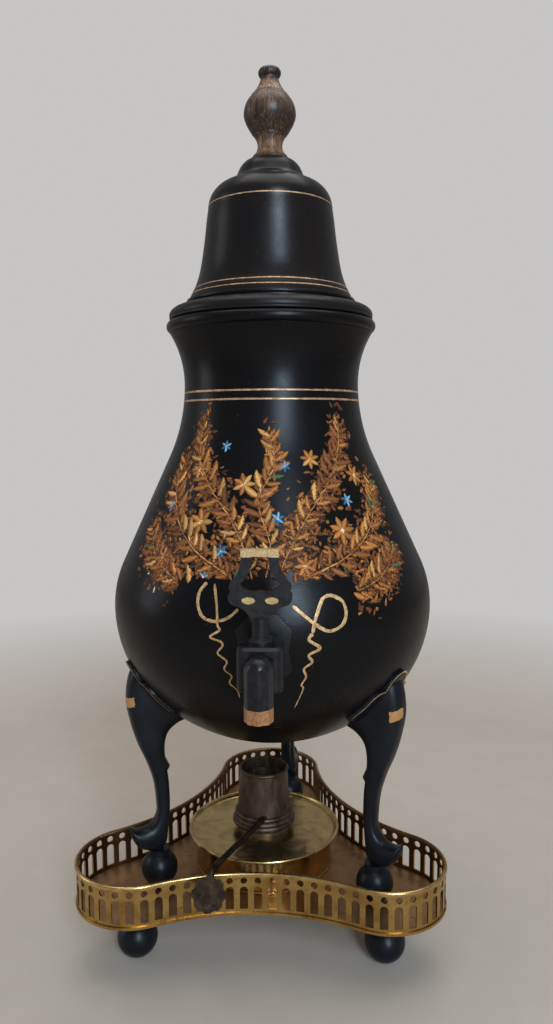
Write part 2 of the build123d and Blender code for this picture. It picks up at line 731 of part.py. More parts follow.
with BuildPart() as tap_key:
    with BuildSketch(urn_side(plug_place)):
        with BuildLine():
            Polyline(
                (0, tail_bottom),
                (tail_radius, tail_bottom),
                (tail_radius, barrel_bottom),
                (plug_bottom_radius, barrel_bottom),
                (plug_top_radius, barrel_top),
                (plug_top_radius, barrel_top + 1.0),
                (key_stem_radius, barrel_top + 2.2),
                (key_stem_radius, handle_foot),
                (0, handle_foot + 2.0),
                close=True,
            )
        make_face()
    revolve(axis=plug_axis)
    with BuildSketch(urn_side(plug_place, handle_foot)):
        with BuildLine():
            Line((0, -1.5), (key_stem_radius, -1.5))
            ThreePointArc((key_stem_radius, -1.5), (6.4, 3.4), (10.6, 5.4))
            ThreePointArc((10.6, 5.4), (12.9, 8.2), (11.8, 11.2))
            ThreePointArc((11.8, 11.2), (12.5, 12.8), (11.9, 14.6))
            ThreePointArc((11.9, 14.6), (8.8, 18.8), (7.6, key_arm_high - 4.8))
            Line((7.6, key_arm_high - 4.8), (7.6, key_arm_high))
            Line((7.6, key_arm_high), (0, key_arm_high))
            Line((0, key_arm_high), (0, -1.5))
        make_face()
        with BuildLine():
            Line((0, key_arm_high - 2.9), (3.5, key_arm_high - 2.9))
            Line((3.5, key_arm_high - 2.9), (3.7, 21.6))
            ThreePointArc((3.7, 21.6), (5.2, 17.6), (8.3, 14.0))
            ThreePointArc((8.3, 14.0), (4.6, 11.2), (0, 11.4))
            Line((0, 11.4), (0, key_arm_high - 2.9))
        make_face(mode=Mode.SUBTRACT)
        mirror(about=Plane.YZ)
    extrude(amount=key_thick / 2, both=True)
    for face in (1, -1):
        with BuildSketch(urn_side(plug_place + face * key_thick / 2, handle_foot)):
            with Locations((-4.7, 7.4), (4.7, 7.4)):
                Ellipse(2.8, 1.5)
        extrude(amount=-face * eye_deep, mode=Mode.SUBTRACT)
    with BuildSketch(upright((urn_x, urn_y - plug_place), tap_height, 0)):
        Circle(waterway_radius)
    extrude(amount=plug_top_radius, both=True, mode=Mode.SUBTRACT)
tap_key.part.label = "tap_key"
export_step(tap_key.part, "parts/tap_key.step")

washer_bottom = barrel_bottom - rest_gap - washer_thick
with BuildPart() as plug_washer:
    with BuildSketch(Plane(origin=(urn_x, urn_y - plug_place, washer_bottom))):
        Circle(plug_bottom_radius + 1.2)
        Circle(tail_radius + solder_gap, mode=Mode.SUBTRACT)
    extrude(amount=washer_thick)
plug_washer.part.label = "plug_washer"
export_step(plug_washer.part, "parts/plug_washer.step")

with BuildPart() as plug_nut:
    with BuildSketch(Plane(origin=(urn_x, urn_y - plug_place, tail_bottom + 0.4))):
        RegularPolygon(tail_radius + 1.4, 6, major_radius=False)
        Circle(tail_radius + solder_gap, mode=Mode.SUBTRACT)
    extrude(amount=washer_bottom - solder_gap - tail_bottom - 0.4)
plug_nut.part.label = "plug_nut"
export_step(plug_nut.part, "parts/plug_nut.step")


# Lid

hem_centre_height = rim_top + rest_gap + hem_radius
hem_turn = 20  # degrees that the flange curls in below its widest ring
flange_mid = flange_arc - lid_wall / 2
flange_centre = (
    rim_reach - flange_reach - flange_arc,
    hem_centre_height + flange_mid * sin(radians(hem_turn)),
)
hem_centre = on_circle(flange_centre, flange_mid, -hem_turn)
flange_top = flange_centre[1] + flange_arc
lip_centre = (rim_reach - lip_inset, rim_top + lip_rise)
lid_flare_centre = on_circle(lip_centre, lid_flare_arc, lip_angle)
lid_shoulder_centre = (lid_wall_reach - lid_shoulder_arc, rim_top + lid_shoulder_rise)
lid_flank = flank_angle(lid_shoulder_centre, lid_shoulder_arc, lid_flare_centre, lid_flare_arc)
ledge = on_circle(lid_shoulder_centre, lid_shoulder_arc, lid_shoulder_end)
lid_top = ledge[1] + crown_high
crown = ledge[1] + ledge_high - crown_thick / 2
throat_foot = flange_top - lid_wall


def lid_outline(grow):
    """The side of the bell from its lip up to the top of the shoulder, grown by a distance."""
    CenterArc(lid_flare_centre, lid_flare_arc - grow, 180 + lip_angle, lid_flank - lip_angle)
    Line(
        on_circle(lid_flare_centre, lid_flare_arc - grow, 180 + lid_flank),
        on_circle(lid_shoulder_centre, lid_shoulder_arc + grow, lid_flank),
    )
    CenterArc(lid_shoulder_centre, lid_shoulder_arc + grow, lid_flank, lid_shoulder_end - lid_flank)


with BuildPart() as lid_bell:
    with BuildSketch(urn_side()):
        with BuildLine():
            lip_inner = on_circle(lid_flare_centre, lid_flare_arc + lid_wall, 180 + lip_angle)
            ledge_inner = on_circle(
                lid_shoulder_centre, lid_shoulder_arc - lid_wall, lid_shoulder_end
            )
            dome_foot = (ledge[0] - ledge_wide, ledge[1] + ledge_high)
            dome_head = (finial_foot_radius + 0.4, lid_top)
            dome_middle = (
                (dome_foot[0] + dome_head[0]) / 2 + 0.6,
                (dome_foot[1] + dome_head[1]) / 2 + 0.9,
            )
            lid_outline(0)
            lid_outline(-lid_wall)
            Line(lip_centre, lip_inner)
            Line(ledge, (ledge[0] - 0.4, ledge[1] + ledge_high))
            Line((ledge[0] - 0.4, ledge[1] + ledge_high), dome_foot)
            ThreePointArc(dome_foot, dome_middle, dome_head)
            Line(dome_head, (0, lid_top))
            Line((0, lid_top), (0, crown))
            Line((0, crown), (ledge_inner[0] - 2.0, crown))
            Line((ledge_inner[0] - 2.0, crown), ledge_inner)
        make_face()
        with Locations(lip_centre):
            Circle(lip_radius)
    revolve(axis=urn_axis)
    with BuildSketch(urn_level(lid_top)):
        Circle(screw_radius + 2 * solder_gap)
    extrude(amount=-crown_high, mode=Mode.SUBTRACT)
lid_bell.part.label = "lid_bell"
export_step(lid_bell.part, "parts/lid_bell.step")

with BuildPart() as lid_flange:
    with BuildSketch(urn_side()):
        with BuildLine():
            throat_out = lip_centre[0] + throat_wall / 2
            throat_in = lip_centre[0] - throat_wall / 2
            throat_top = lip_centre[1] - lip_radius - solder_gap
            Line(on_circle(flange_centre, flange_arc, 90), (throat_out, flange_top))
            Line((throat_out, flange_top), (throat_out, throat_top))
            Line((throat_out, throat_top), (throat_in, throat_top))
            Line((throat_in, throat_top), (throat_in, throat_foot))
            Line((throat_in, throat_foot), on_circle(flange_centre, flange_arc - lid_wall, 90))
            CenterArc(flange_centre, flange_arc - lid_wall, 90, -90 - hem_turn)
            Line(
                on_circle(flange_centre, flange_arc - lid_wall, -hem_turn),
                on_circle(flange_centre, flange_arc, -hem_turn),
            )
            CenterArc(flange_centre, flange_arc, 90, -90 - hem_turn)
        make_face()
        with Locations(hem_centre):
            Circle(hem_radius)
    revolve(axis=urn_axis)
lid_flange.part.label = "lid_flange"
export_step(lid_flange.part, "parts/lid_flange.step")

collar_radius_out = mouth_radius - collar_play
collar_top = throat_foot - solder_gap
with BuildPart() as lid_collar:
    with BuildSketch(urn_side()):
        with BuildLine():
            Polyline(
                (collar_radius_out, rim_top - collar_deep),
                (collar_radius_out, collar_top - 0.4),
                (collar_radius_out - 0.9, collar_top),
                (collar_radius_out - collar_seat, collar_top),
                (collar_radius_out - collar_seat, collar_top - collar_wall),
                (collar_radius_out - collar_wall, collar_top - collar_wall),
                (collar_radius_out - collar_wall, rim_top - collar_deep),
                close=True,
            )
        make_face()
    revolve(axis=urn_axis)
lid_collar.part.label = "lid_collar"
export_step(lid_collar.part, "parts/lid_collar.step")

with BuildPart() as lid_finial:
    with BuildSketch(urn_side(0, lid_top + solder_gap)):
        with BuildLine():
            knob_side = (knob_radius - knob_edge, knob_rise)
            knob_top = knob_rise + knob_edge + knob_dome
            crown_radius = (knob_side[0] ** 2 + knob_dome**2) / (2 * knob_dome)
            crown_start = degrees(atan2(crown_radius - knob_dome, knob_side[0]))
            Line((0, 0), (finial_foot_radius, 0))
            Line((finial_foot_radius, 0), (finial_foot_radius - 0.5, 1.8))
            Line((finial_foot_radius - 0.5, 1.8), (finial_foot_radius - 1.2, 2.2))
            foot_hollow = ((finial_foot_radius - 1.2, 2.2), (finial_waist_radius, 7.4), (8.2, 12.6))
            ThreePointArc(*foot_hollow)
            Line((8.2, 12.6), (9.1, 13.0))
            body_side = ((9.1, 13.0), (finial_body_radius, 22.2), (8.4, 31.6))
            Spline(*body_side, tangents=[(0.8, 1.0), (-1.0, 0.75)])
            Line((8.4, 31.6), (7.7, 31.9))
            ThreePointArc((7.7, 31.9), (finial_neck_radius + 0.9, 35.0), (finial_neck_radius, 38.8))
            Line((finial_neck_radius, 38.8), on_circle(knob_side, knob_edge, -60))
            CenterArc(knob_side, knob_edge, -60, 150)
            CenterArc((0, knob_top - crown_radius), crown_radius, crown_start, 90 - crown_start)
            Line((0, knob_top), (0, 0))
        make_face()
    revolve(axis=urn_axis)
    with BuildSketch(urn_level(lid_top + solder_gap)):
        Circle(screw_radius + solder_gap)
    extrude(amount=finial_screw_deep, mode=Mode.SUBTRACT)
lid_finial.part.label = "lid_finial"
export_step(lid_finial.part, "parts/lid_finial.step")

washer_top = crown - solder_gap
with BuildPart() as finial_washer:
    with BuildSketch(urn_level(washer_top - washer_thick)):
        Circle(finial_washer_radius)
        Circle(screw_radius + solder_gap, mode=Mode.SUBTRACT)
    extrude(amount=washer_thick)
finial_washer.part.label = "finial_washer"
export_step(finial_washer.part, "parts/finial_washer.step")

screw_foot = washer_top - washer_thick - solder_gap
finial_screw_up = lid_top + finial_screw_deep - 1.2 - screw_foot
with BuildPart() as finial_screw:
    with BuildSketch(urn_side(0, screw_foot)):
        with BuildLine():
            Line((0, -2.2), (1.6, -2.2))
            ThreePointArc((1.6, -2.2), (3.0, -1.5), (screw_head_radius, 0))
            Line((screw_head_radius, 0), (screw_radius, 0))
            Line((screw_radius, 0), (screw_radius, finial_screw_up))
            Line((screw_radius, finial_screw_up), (0, finial_screw_up + 1.0))
            Line((0, finial_screw_up + 1.0), (0, -2.2))
        make_face()
    revolve(axis=urn_axis)
    with BuildSketch(urn_level(screw_foot - 2.2)):
        Rectangle(2 * screw_head_radius, 0.8)
    extrude(amount=0.9, mode=Mode.SUBTRACT)
finial_screw.part.label = "finial_screw"
export_step(finial_screw.part, "parts/finial_screw.step")


# Spirit burner

base_bottom = floor_top + rest_gap
drum_bottom = base_bottom + base_high + solder_gap
dish_bottom = drum_bottom + drum_high + solder_gap
dish_top = dish_bottom + dish_metal
ring_bottom = dish_top + solder_gap
ring_top = ring_bottom + stop_ring_high
sleeve_bottom = ring_top + rest_gap
sleeve_top = sleeve_bottom + sleeve_high
dish_reach = drum_radius + dish_overhang
sleeve_top_radius = tube_radius + sleeve_top_space + sleeve_wall
sleeve_low_radius = sleeve_top_radius + sleeve_taper
sleeve_bead_radius = sleeve_low_radius + sleeve_bead
sleeve_foot_radius = sleeve_low_radius + sleeve_foot
holder_radius = tube_radius - tube_wall - holder_play
wick_radius = holder_radius - holder_wall - solder_gap
pin_height = dish_top + pin_up
pin_slot = 2 * (pin_radius + pin_gap)

with BuildPart() as burner_base:
    with BuildSketch(tray_level(base_bottom)):
        Circle(drum_radius + base_lip)
    extrude(amount=base_high)
    fillet(burner_base.edges().sort_by(Axis.Z)[-1], 0.5)
burner_base.part.label = "burner_base"
export_step(burner_base.part, "parts/burner_base.step")

with BuildPart() as burner_drum:
    with BuildSketch(tray_level(drum_bottom)):
        Circle(drum_radius)
        Circle(drum_radius - drum_wall, mode=Mode.SUBTRACT)
    extrude(amount=drum_high)
burner_drum.part.label = "burner_drum"
export_step(burner_drum.part, "parts/burner_drum.step")

with BuildPart() as burner_dish:
    with BuildSketch(tray_side()):
        with BuildLine():
            edge_in = dish_reach - dish_wire
            Line((tube_radius + solder_gap, dish_bottom), (dish_reach - 4.2, dish_bottom))
            ThreePointArc(
                (dish_reach - 4.2, dish_bottom),
                (dish_reach - 2.0, dish_bottom + 0.3 * dish_rise),
                (edge_in + 0.3, dish_bottom + dish_rise),
            )
            Line((edge_in + 0.3, dish_bottom + dish_rise), (edge_in - 0.5, dish_top + dish_rise))
            ThreePointArc(
                (edge_in - 0.5, dish_top + dish_rise),
                (dish_reach - 2.5, dish_top + 0.3 * dish_rise),
                (dish_reach - 4.5, dish_top),
            )
            Line((dish_reach - 4.5, dish_top), (tube_radius + solder_gap, dish_top))
            Line((tube_radius + solder_gap, dish_top), (tube_radius + solder_gap, dish_bottom))
        make_face()
        with Locations((edge_in, dish_top + dish_rise - 0.3)):
            Circle(dish_wire)
    revolve(axis=tray_axis)
burner_dish.part.label = "burner_dish"
export_step(burner_dish.part, "parts/burner_dish.step")

with BuildPart() as wick_tube:
    with BuildSketch(tray_level(dish_bottom - tube_down)):
        Circle(tube_radius)
    extrude(amount=tube_down + dish_metal + tube_up)
    with BuildSketch(tray_level(ring_bottom)):
        Circle(tube_radius + stop_ring_wide)
    extrude(amount=stop_ring_high)
    with BuildSketch(tray_level(dish_bottom - tube_down)):
        Circle(tube_radius - tube_wall)
    extrude(amount=tube_down + dish_metal + tube_up, mode=Mode.SUBTRACT)
    with BuildSketch(upright((0, tray_y), pin_height + wick_travel / 2, 90)):
        SlotOverall(wick_travel + pin_slot, pin_slot, rotation=90)
    extrude(amount=tube_radius + 1.0, mode=Mode.SUBTRACT)
wick_tube.part.label = "wick_tube"
export_step(wick_tube.part, "parts/wick_tube.step")

# The sleeve's slot climbs as it goes round, so turning the sleeve lifts the guide pin
pin_reach = sleeve_low_radius - 0.7
slot_run = 2 * pin_reach * sin(radians(lever_travel / 2))

with BuildPart() as regulator_sleeve:
    with BuildSketch(tray_side(sleeve_bottom)):
        with BuildLine():
            bead_low = sleeve_low_high - 2.4
            bead_side = sleeve_bead_radius - 0.7
            low_inner = sleeve_low_radius - sleeve_wall
            top_inner = sleeve_top_radius - sleeve_wall
            Line((tube_radius + run_gap, 0), (sleeve_foot_radius, 0))
            ThreePointArc(
                (sleeve_foot_radius, 0), (sleeve_foot_radius + 0.5, 1.3), (sleeve_foot_radius, 2.6)
            )
            ThreePointArc(
                (sleeve_foot_radius, 2.6), (sleeve_foot_radius - 1.2, 3.2), (bead_side, bead_low)
            )
            ThreePointArc(
                (bead_side, bead_low), (sleeve_bead_radius, bead_low + 1.1), (bead_side, bead_low + 2.2)
            )
            Line((bead_side, bead_low + 2.2), (sleeve_low_radius, sleeve_low_high))
            Line((sleeve_low_radius, sleeve_low_high), (sleeve_top_radius, sleeve_high - 1.6))
            ThreePointArc(
                (sleeve_top_radius, sleeve_high - 1.6),
                (sleeve_top_radius + 0.6, sleeve_high - 0.8),
                (sleeve_top_radius, sleeve_high),
            )
            Line((sleeve_top_radius, sleeve_high), (top_inner, sleeve_high))
            Line((top_inner, sleeve_high), (low_inner, sleeve_low_high))
            Line((low_inner, sleeve_low_high), (low_inner, 1.6))
            Line((low_inner, 1.6), (tube_radius + run_gap, 1.6))
            Line((tube_radius + run_gap, 1.6), (tube_radius + run_gap, 0))
        make_face()
    revolve(axis=tray_axis)
    with BuildSketch(upright((0, tray_y), pin_height + wick_travel / 2, 90 - lever_travel / 2)):
        SlotCenterToCenter(
            hypot(slot_run, wick_travel),
            pin_slot,
            rotation=-degrees(atan2(wick_travel, slot_run)),
        )
    extrude(amount=sleeve_foot_radius, mode=Mode.SUBTRACT)
regulator_sleeve.part.label = "regulator_sleeve"
export_step(regulator_sleeve.part, "parts/regulator_sleeve.step")

with BuildPart() as wick_holder:
    with BuildSketch(tray_level(pin_height - holder_high / 2)):
        Circle(holder_radius)
    extrude(amount=holder_high)
    with BuildSketch(upright((0, tray_y), pin_height, 90)):
        Circle(pin_radius)
    extrude(amount=pin_reach)
    with BuildSketch(tray_level(pin_height - holder_high / 2)):
        Circle(wick_radius + solder_gap)
    extrude(amount=holder_high, mode=Mode.SUBTRACT)
wick_holder.part.label = "wick_holder"
export_step(wick_holder.part, "parts/wick_holder.step")

with BuildPart() as wick:
    with BuildSketch(tray_level(sleeve_top - wick_under_rim - wick_long)):
        Circle(wick_radius)
    extrude(amount=wick_long)
    fillet(wick.edges().sort_by(Axis.Z)[-1], 1.2)
wick.part.label = "wick"
export_step(wick.part, "parts/wick.step")

# Lever: a bent rod from the sleeve over the gallery, and the finger grip on its end
lever_behind = grip_thick / 2 + lever_radius + solder_gap
lever_bend_height = rim_bottom + rim_high + lever_over_rim + lever_radius
gallery_front = sqrt(waist_arc**2 - grip_side**2) - waist_centre
grip_height = (
    lever_bend_height - grip_down * cos(radians(grip_tilt)) + lever_behind * sin(radians(grip_tilt))
)
grip_plane = Plane(
    origin=(grip_side, tray_y + gallery_front - grip_out, grip_height),
    x_dir=(-sin(radians(grip_facing)), cos(radians(grip_facing)), 0),
    z_dir=(
        cos(radians(grip_tilt)) * cos(radians(grip_facing)),
        cos(radians(grip_tilt)) * sin(radians(grip_facing)),
        sin(radians(grip_tilt)),
    ),
)
lever_start = Vector(lever_root[0], tray_y + lever_root[1], sleeve_bottom + lever_root_up)
lever_bend = grip_plane.from_local_coords(Vector(0, grip_down, -lever_behind))
lever_end = grip_plane.from_local_coords(Vector(0, -1.5, -lever_behind))

with BuildPart() as lever_rod:
    with BuildLine():
        lever_path = FilletPolyline(lever_start, lever_bend, lever_end, radius=3.0)
    with BuildSketch(Plane(origin=lever_path @ 0, z_dir=lever_path % 0)):
        Circle(lever_radius)
    sweep()
    with BuildSketch(tray_side(sleeve_bottom)):
        with BuildLine():
            Polyline(
                (0, 0),
                (sleeve_bead_radius + solder_gap, 0),
                (sleeve_bead_radius + solder_gap, sleeve_low_high - 0.2),
                (sleeve_low_radius + 2 * solder_gap, sleeve_low_high),
                (sleeve_top_radius + 2 * solder_gap, sleeve_high),
                (0, sleeve_high),
                close=True,
            )
        make_face()
    revolve(axis=tray_axis, mode=Mode.SUBTRACT)
lever_rod.part.label = "lever_rod"
export_step(lever_rod.part, "parts/lever_rod.step")

with BuildPart() as lever_disc:
    with BuildSketch(grip_plane.offset(-grip_thick / 2)):
        Circle(grip_radius)
        with PolarLocations(grip_radius + grip_bite - grip_bite_deep, 8, start_angle=22.5):
            Circle(grip_bite, mode=Mode.SUBTRACT)
    extrude(amount=grip_thick)
lever_disc.part.label = "lever_disc"
export_step(lever_disc.part, "parts/lever_disc.step")
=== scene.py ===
# %% [markdown]
# # A painted coffee urn over its spirit burner
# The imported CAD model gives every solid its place. This lesson dresses it: smooth lacquered
# skins for the spun sheets, hand-painted gold lines and flowers, and one finish for each metal,
# wood, rubber and cotton piece. Lengths are written in millimetres and turned to metres.

from math import asin, atan2, cos, degrees, hypot, pi, radians, sin

import bmesh
import bpy
import numpy as np
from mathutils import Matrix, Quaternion, Vector


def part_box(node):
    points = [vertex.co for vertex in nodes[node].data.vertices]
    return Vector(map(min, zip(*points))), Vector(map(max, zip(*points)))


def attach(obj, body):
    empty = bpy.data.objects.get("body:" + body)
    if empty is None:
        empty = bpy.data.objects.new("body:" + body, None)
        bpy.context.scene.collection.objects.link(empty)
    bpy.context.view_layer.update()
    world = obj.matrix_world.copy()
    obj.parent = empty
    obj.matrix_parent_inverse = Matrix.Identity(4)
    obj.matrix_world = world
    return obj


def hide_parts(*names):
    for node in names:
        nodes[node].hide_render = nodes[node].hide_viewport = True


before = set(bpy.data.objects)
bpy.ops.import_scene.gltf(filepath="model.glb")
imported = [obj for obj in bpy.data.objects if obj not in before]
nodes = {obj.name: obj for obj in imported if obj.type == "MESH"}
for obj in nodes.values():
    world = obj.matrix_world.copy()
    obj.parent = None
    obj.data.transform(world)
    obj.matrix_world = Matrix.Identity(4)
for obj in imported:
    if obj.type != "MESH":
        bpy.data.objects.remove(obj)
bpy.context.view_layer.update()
mm = 0.001

# %% [markdown]
# ## Camera
# The photographer stood close, a little above the lid's flange, and tilted the camera down by
# six degrees and a touch sideways. A lens of 28 mm on a 36 mm frame gives the same perspective:
# legs and tray look wide, the finial small. The view direction becomes a rotation with
# `to_track_quat`, and the small roll is multiplied on.


# %% Camera
def add(name, data):
    """A new object in the scene."""
    made = bpy.data.objects.new(name, data)
    bpy.context.scene.collection.objects.link(made)
    return made


def stand(name, data, place, look, roll=0.0):
    """An object at a place in metres, looking along a direction."""
    made = add(name, data)
    made.location = place
    made.rotation_mode = "QUATERNION"
    made.rotation_quaternion = look.to_track_quat("-Z", "Y") @ Quaternion((0, 0, 1), roll)
    return made


camera_data = bpy.data.cameras.new("camera")
camera_data.lens = 28.125
camera_data.sensor_width = 36.0
pitch, yaw, roll = radians(-5.95), radians(2.45), radians(-0.3)
look = Vector((-sin(yaw) * cos(pitch), cos(yaw) * cos(pitch), sin(pitch)))
eye = Vector((25.7, -408.8, 268.0)) * mm
bpy.context.scene.camera = stand("camera", camera_data, eye, look, roll)
print("camera looks along", [round(v, 3) for v in look])

# %% [markdown]
# ## Building a finish
# Each finish is one Principled shader. Values that are the same all over go straight on the
# shader's sockets. What changes over the surface, such as cloudy tarnish or a streak, comes
# from noise that is read at the piece's own coordinates, so it stays on the piece when a joint
# moves. A `Pattern` stands for such a changing value, and Python's own signs join two of them
# with a math node, so a recipe reads like a formula.


# %% Finish helpers
def sign(operation):
    """What one of Python's signs does between two patterns: it makes a math node."""
    return lambda self, other: self.finish.math(operation, self, other)


class Pattern:
    """A number or colour that changes over a surface: one output of a finish's nodes."""

    def __init__(self, finish, socket):
        self.finish = finish
        self.socket = socket

    __add__, __sub__ = sign("ADD"), sign("SUBTRACT")
    __mul__, __truediv__ = sign("MULTIPLY"), sign("DIVIDE")
    __pow__, __lt__, __gt__ = sign("POWER"), sign("LESS_THAN"), sign("GREATER_THAN")


class Finish:
    """One node material: a Principled shader and the patterns that drive it."""

    def __init__(self, name, colour, **sockets):
        self.material = bpy.data.materials.new(name)
        self.material.use_nodes = True
        self.tree = self.material.node_tree
        self.shader = self.tree.nodes["Principled BSDF"]
        self.shader.inputs["Base Color"].default_value = (*colour, 1.0)
        for socket, value in sockets.items():
            self.shader.inputs[socket.replace("_", " ")].default_value = value
        self.place = self.node("ShaderNodeTexCoord", output="Object")
        self.facing = Pattern(self, self.place.socket.node.outputs["Normal"])

    def feed(self, socket, value):
        """Links a pattern to a socket, or sets a plain value there."""
        if isinstance(value, Pattern):
            self.tree.links.new(value.socket, socket)
        elif value is not None:
            socket.default_value = value

    def node(self, kind, inputs=(), output=0, **settings):
        """One output of a new node. Its inputs are fed in order, or by name from a dictionary."""
        made = self.tree.nodes.new(kind)
        for key, value in settings.items():
            setattr(made, key, value)
        for socket, value in inputs.items() if isinstance(inputs, dict) else enumerate(inputs):
            self.feed(made.inputs[socket], value)
        return Pattern(self, made.outputs[output])

    def math(self, operation, *values):
        """A math node's result for patterns and plain numbers."""
        return self.node("ShaderNodeMath", values, operation=operation)

    def vector(self, operation, *values):
        """Vector arithmetic. A dot product and a length give a number."""
        output = "Value" if operation in ("DOT_PRODUCT", "LENGTH") else "Vector"
        return self.node("ShaderNodeVectorMath", values, output, operation=operation)

    def split(self, vector=None):
        """The x, y and z of a vector, of the place on the piece if none is given."""
        x = self.node("ShaderNodeSeparateXYZ", [vector or self.place])
        return [Pattern(self, socket) for socket in x.socket.node.outputs]

    def noise(self, grain, detail=4.0, stretch=(1, 1, 1), warp=0.0):
        """Cloudy noise whose blotches are about `grain` mm, longer along an axis if stretched."""
        scale = [1000.0 / (grain * s) for s in stretch]
        where = self.node("ShaderNodeMapping", {"Vector": self.place, "Scale": scale})
        inputs = {"Vector": where, "Scale": 1.0, "Detail": detail, "Distortion": warp}
        return self.node("ShaderNodeTexNoise", inputs, "Fac")

    def ramp(self, factor, *stops):
        """A colour or grey for each place of a factor: stops are (place, colour or grey)."""
        made = self.node("ShaderNodeValToRGB", [factor])
        elements = made.socket.node.color_ramp.elements
        while len(elements) < len(stops):
            elements.new(0.5)
        for element, (place, value) in zip(elements, stops):
            element.position = place
            element.color = (*value, 1.0) if isinstance(value, tuple) else (value, value, value, 1.0)
        return made

    def mix(self, factor, first, second, blend="MIX"):
        """A blend of two colours, each a pattern or three numbers."""
        pair = [c if isinstance(c, Pattern) else (*c, 1.0) for c in (first, second)]
        inputs = {0: factor, 6: pair[0], 7: pair[1]}
        return self.node("ShaderNodeMix", inputs, 2, data_type="RGBA", blend_type=blend)

    def surface(self, colour=None, rough=None, relief=None, depth=0.0, metal=None):
        """Drives the shader, with a relief of about `depth` mm from a height of 0 to 1.

        Roughness as (pattern, low, high) goes from low to high over the pattern's middle.
        """
        if isinstance(rough, tuple):
            rough = self.ramp(rough[0], (0.3, rough[1]), (0.7, rough[2]))
        inputs = {"Strength": 1.0, "Distance": depth * mm, "Height": relief}
        normal = self.node("ShaderNodeBump", inputs, "Normal") if relief else None
        driven = {"Base Color": colour, "Roughness": rough, "Metallic": metal, "Normal": normal}
        for socket, value in driven.items():
            self.feed(self.shader.inputs[socket], value)

    def dress(self, *names):
        """Gives CAD nodes this finish in place of their own material."""
        for name in names:
            mesh = nodes[name].data
            mesh.materials.clear()
            mesh.materials.append(self.material)
            mesh.polygons.foreach_set("material_index", np.zeros(len(mesh.polygons), np.int32))


# %% [markdown]
# ## Lacquer
# The sheet is covered in a black oil lacquer that has gone from gloss to satin. Wiping and dust
# leave cloudy patches where it is duller, and a few pale specks. A flat black would look like
# plastic, so the roughness comes from two sizes of noise and the colour drifts between a warm
# and a cold black.


# %% Lacquer finishes
def lacquer(name, warm, cold, dull, shine):
    """Satin black: colour from wide noise, roughness from wide and fine noise, specks on top."""
    made = Finish(name, warm, Specular_IOR_Level=shine)
    clouds = made.noise(34.0, 5.0, warp=0.6)
    fine = made.noise(2.6, 6.0)
    specks = made.ramp(made.noise(1.1, 2.0), (0.70, 0.0), (0.76, 1.0))
    body = made.mix(made.ramp(clouds, (0.38, 0.0), (0.66, 1.0)), warm, cold)
    made.colour = made.mix(specks * 0.10, body, (0.20, 0.19, 0.17))
    rough = clouds * 0.20 + fine * 0.14 + (dull - 0.17)
    made.surface(made.colour, rough, fine + made.noise(9.0, 3.0) * 0.8, 0.012)
    return made


urn_lacquer = lacquer("urn_lacquer", (0.0038, 0.0031, 0.0029), (0.0026, 0.0028, 0.0036), 0.30, 0.14)
lid_lacquer = lacquer("lid_lacquer", (0.0068, 0.0048, 0.0044), (0.0040, 0.0037, 0.0046), 0.32, 0.19)
print("two lacquers for the spun sheets")

# %% [markdown]
# ## Spun skins
# The bowl, shoulder and neck are one smooth surface of revolution, and so is the lid. Such a
# shape is an outline turned about an upright axis. A fine grid of points gives a reflection
# with no facets, which matters on dark lacquer more than anywhere else.


# %% Meshes from grids
def piece(name, points, faces, body, slot, finish, *stands_for, soft_angle=38.0, paint=None):
    """A closed mesh object from arrays, on a body, with its finish and the nodes it replaces."""
    mesh = bpy.data.meshes.new(name)
    mesh.from_pydata(points.reshape(-1, 3) * mm, [], faces)
    if paint is not None:
        rgba = np.hstack([paint, np.ones((len(paint), 1))]).astype(np.float32)
        mesh.attributes.new("paint", "FLOAT_COLOR", "POINT").data.foreach_set("color", rgba.ravel())
    sewing = bmesh.new()
    sewing.from_mesh(mesh)
    bmesh.ops.remove_doubles(sewing, verts=sewing.verts, dist=2e-7)
    bmesh.ops.recalc_face_normals(sewing, faces=sewing.faces)
    sewing.to_mesh(mesh)
    sewing.free()
    mesh.shade_smooth()
    mesh.set_sharp_from_angle(angle=radians(soft_angle))
    mesh.materials.append(finish.material)
    made = add(name, mesh)
    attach(made, body)
    if stands_for:
        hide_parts(*stands_for)
    print(name, "has", len(mesh.polygons), "faces")
    return made


def grid_faces(rows, columns, wrap_rows=False, wrap_columns=False, copies=1):
    """Quads between neighbours of a grid: (i, j), (i, j+1), (i+1, j+1), (i+1, j)."""
    i = np.arange(rows if wrap_rows else rows - 1)[:, None]
    j = np.arange(columns if wrap_columns else columns - 1)[None, :]
    down, along = (i + 1) % rows, (j + 1) % columns
    corners = [i * columns + j, i * columns + along, down * columns + along, down * columns + j]
    quads = np.stack([c + np.zeros((i.size, j.size), int) for c in corners], -1).reshape(-1, 4)
    shift = np.arange(copies)[:, None, None] * rows * columns
    return (quads[None] + shift).reshape(-1, 4)


# %% [markdown]
# An outline is put together from three kinds of line: arcs of circles, a hollow waist drawn as
# a parabola, and a smooth curve through a few places where a side has no clear arcs. Turning it
# needs the urn's own axis, which the CAD shoulder gives.


# %% Outlines
def axis(name):
    """The x and y of a round CAD node's upright axis, in mm: the middle of its box."""
    low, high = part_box(name)
    return (low.x + high.x) / 2 / mm, (low.y + high.y) / 2 / mm


urn_centre = axis("urn_shoulder")


def arc(centre, radius, start, end, steps=24):
    """Points of a circle: centre + radius (cos t, sin t), for t from start to end degrees."""
    t = np.radians(np.linspace(start, end, steps))
    return np.stack([centre[0] + radius * np.cos(t), centre[1] + radius * np.sin(t)], 1)


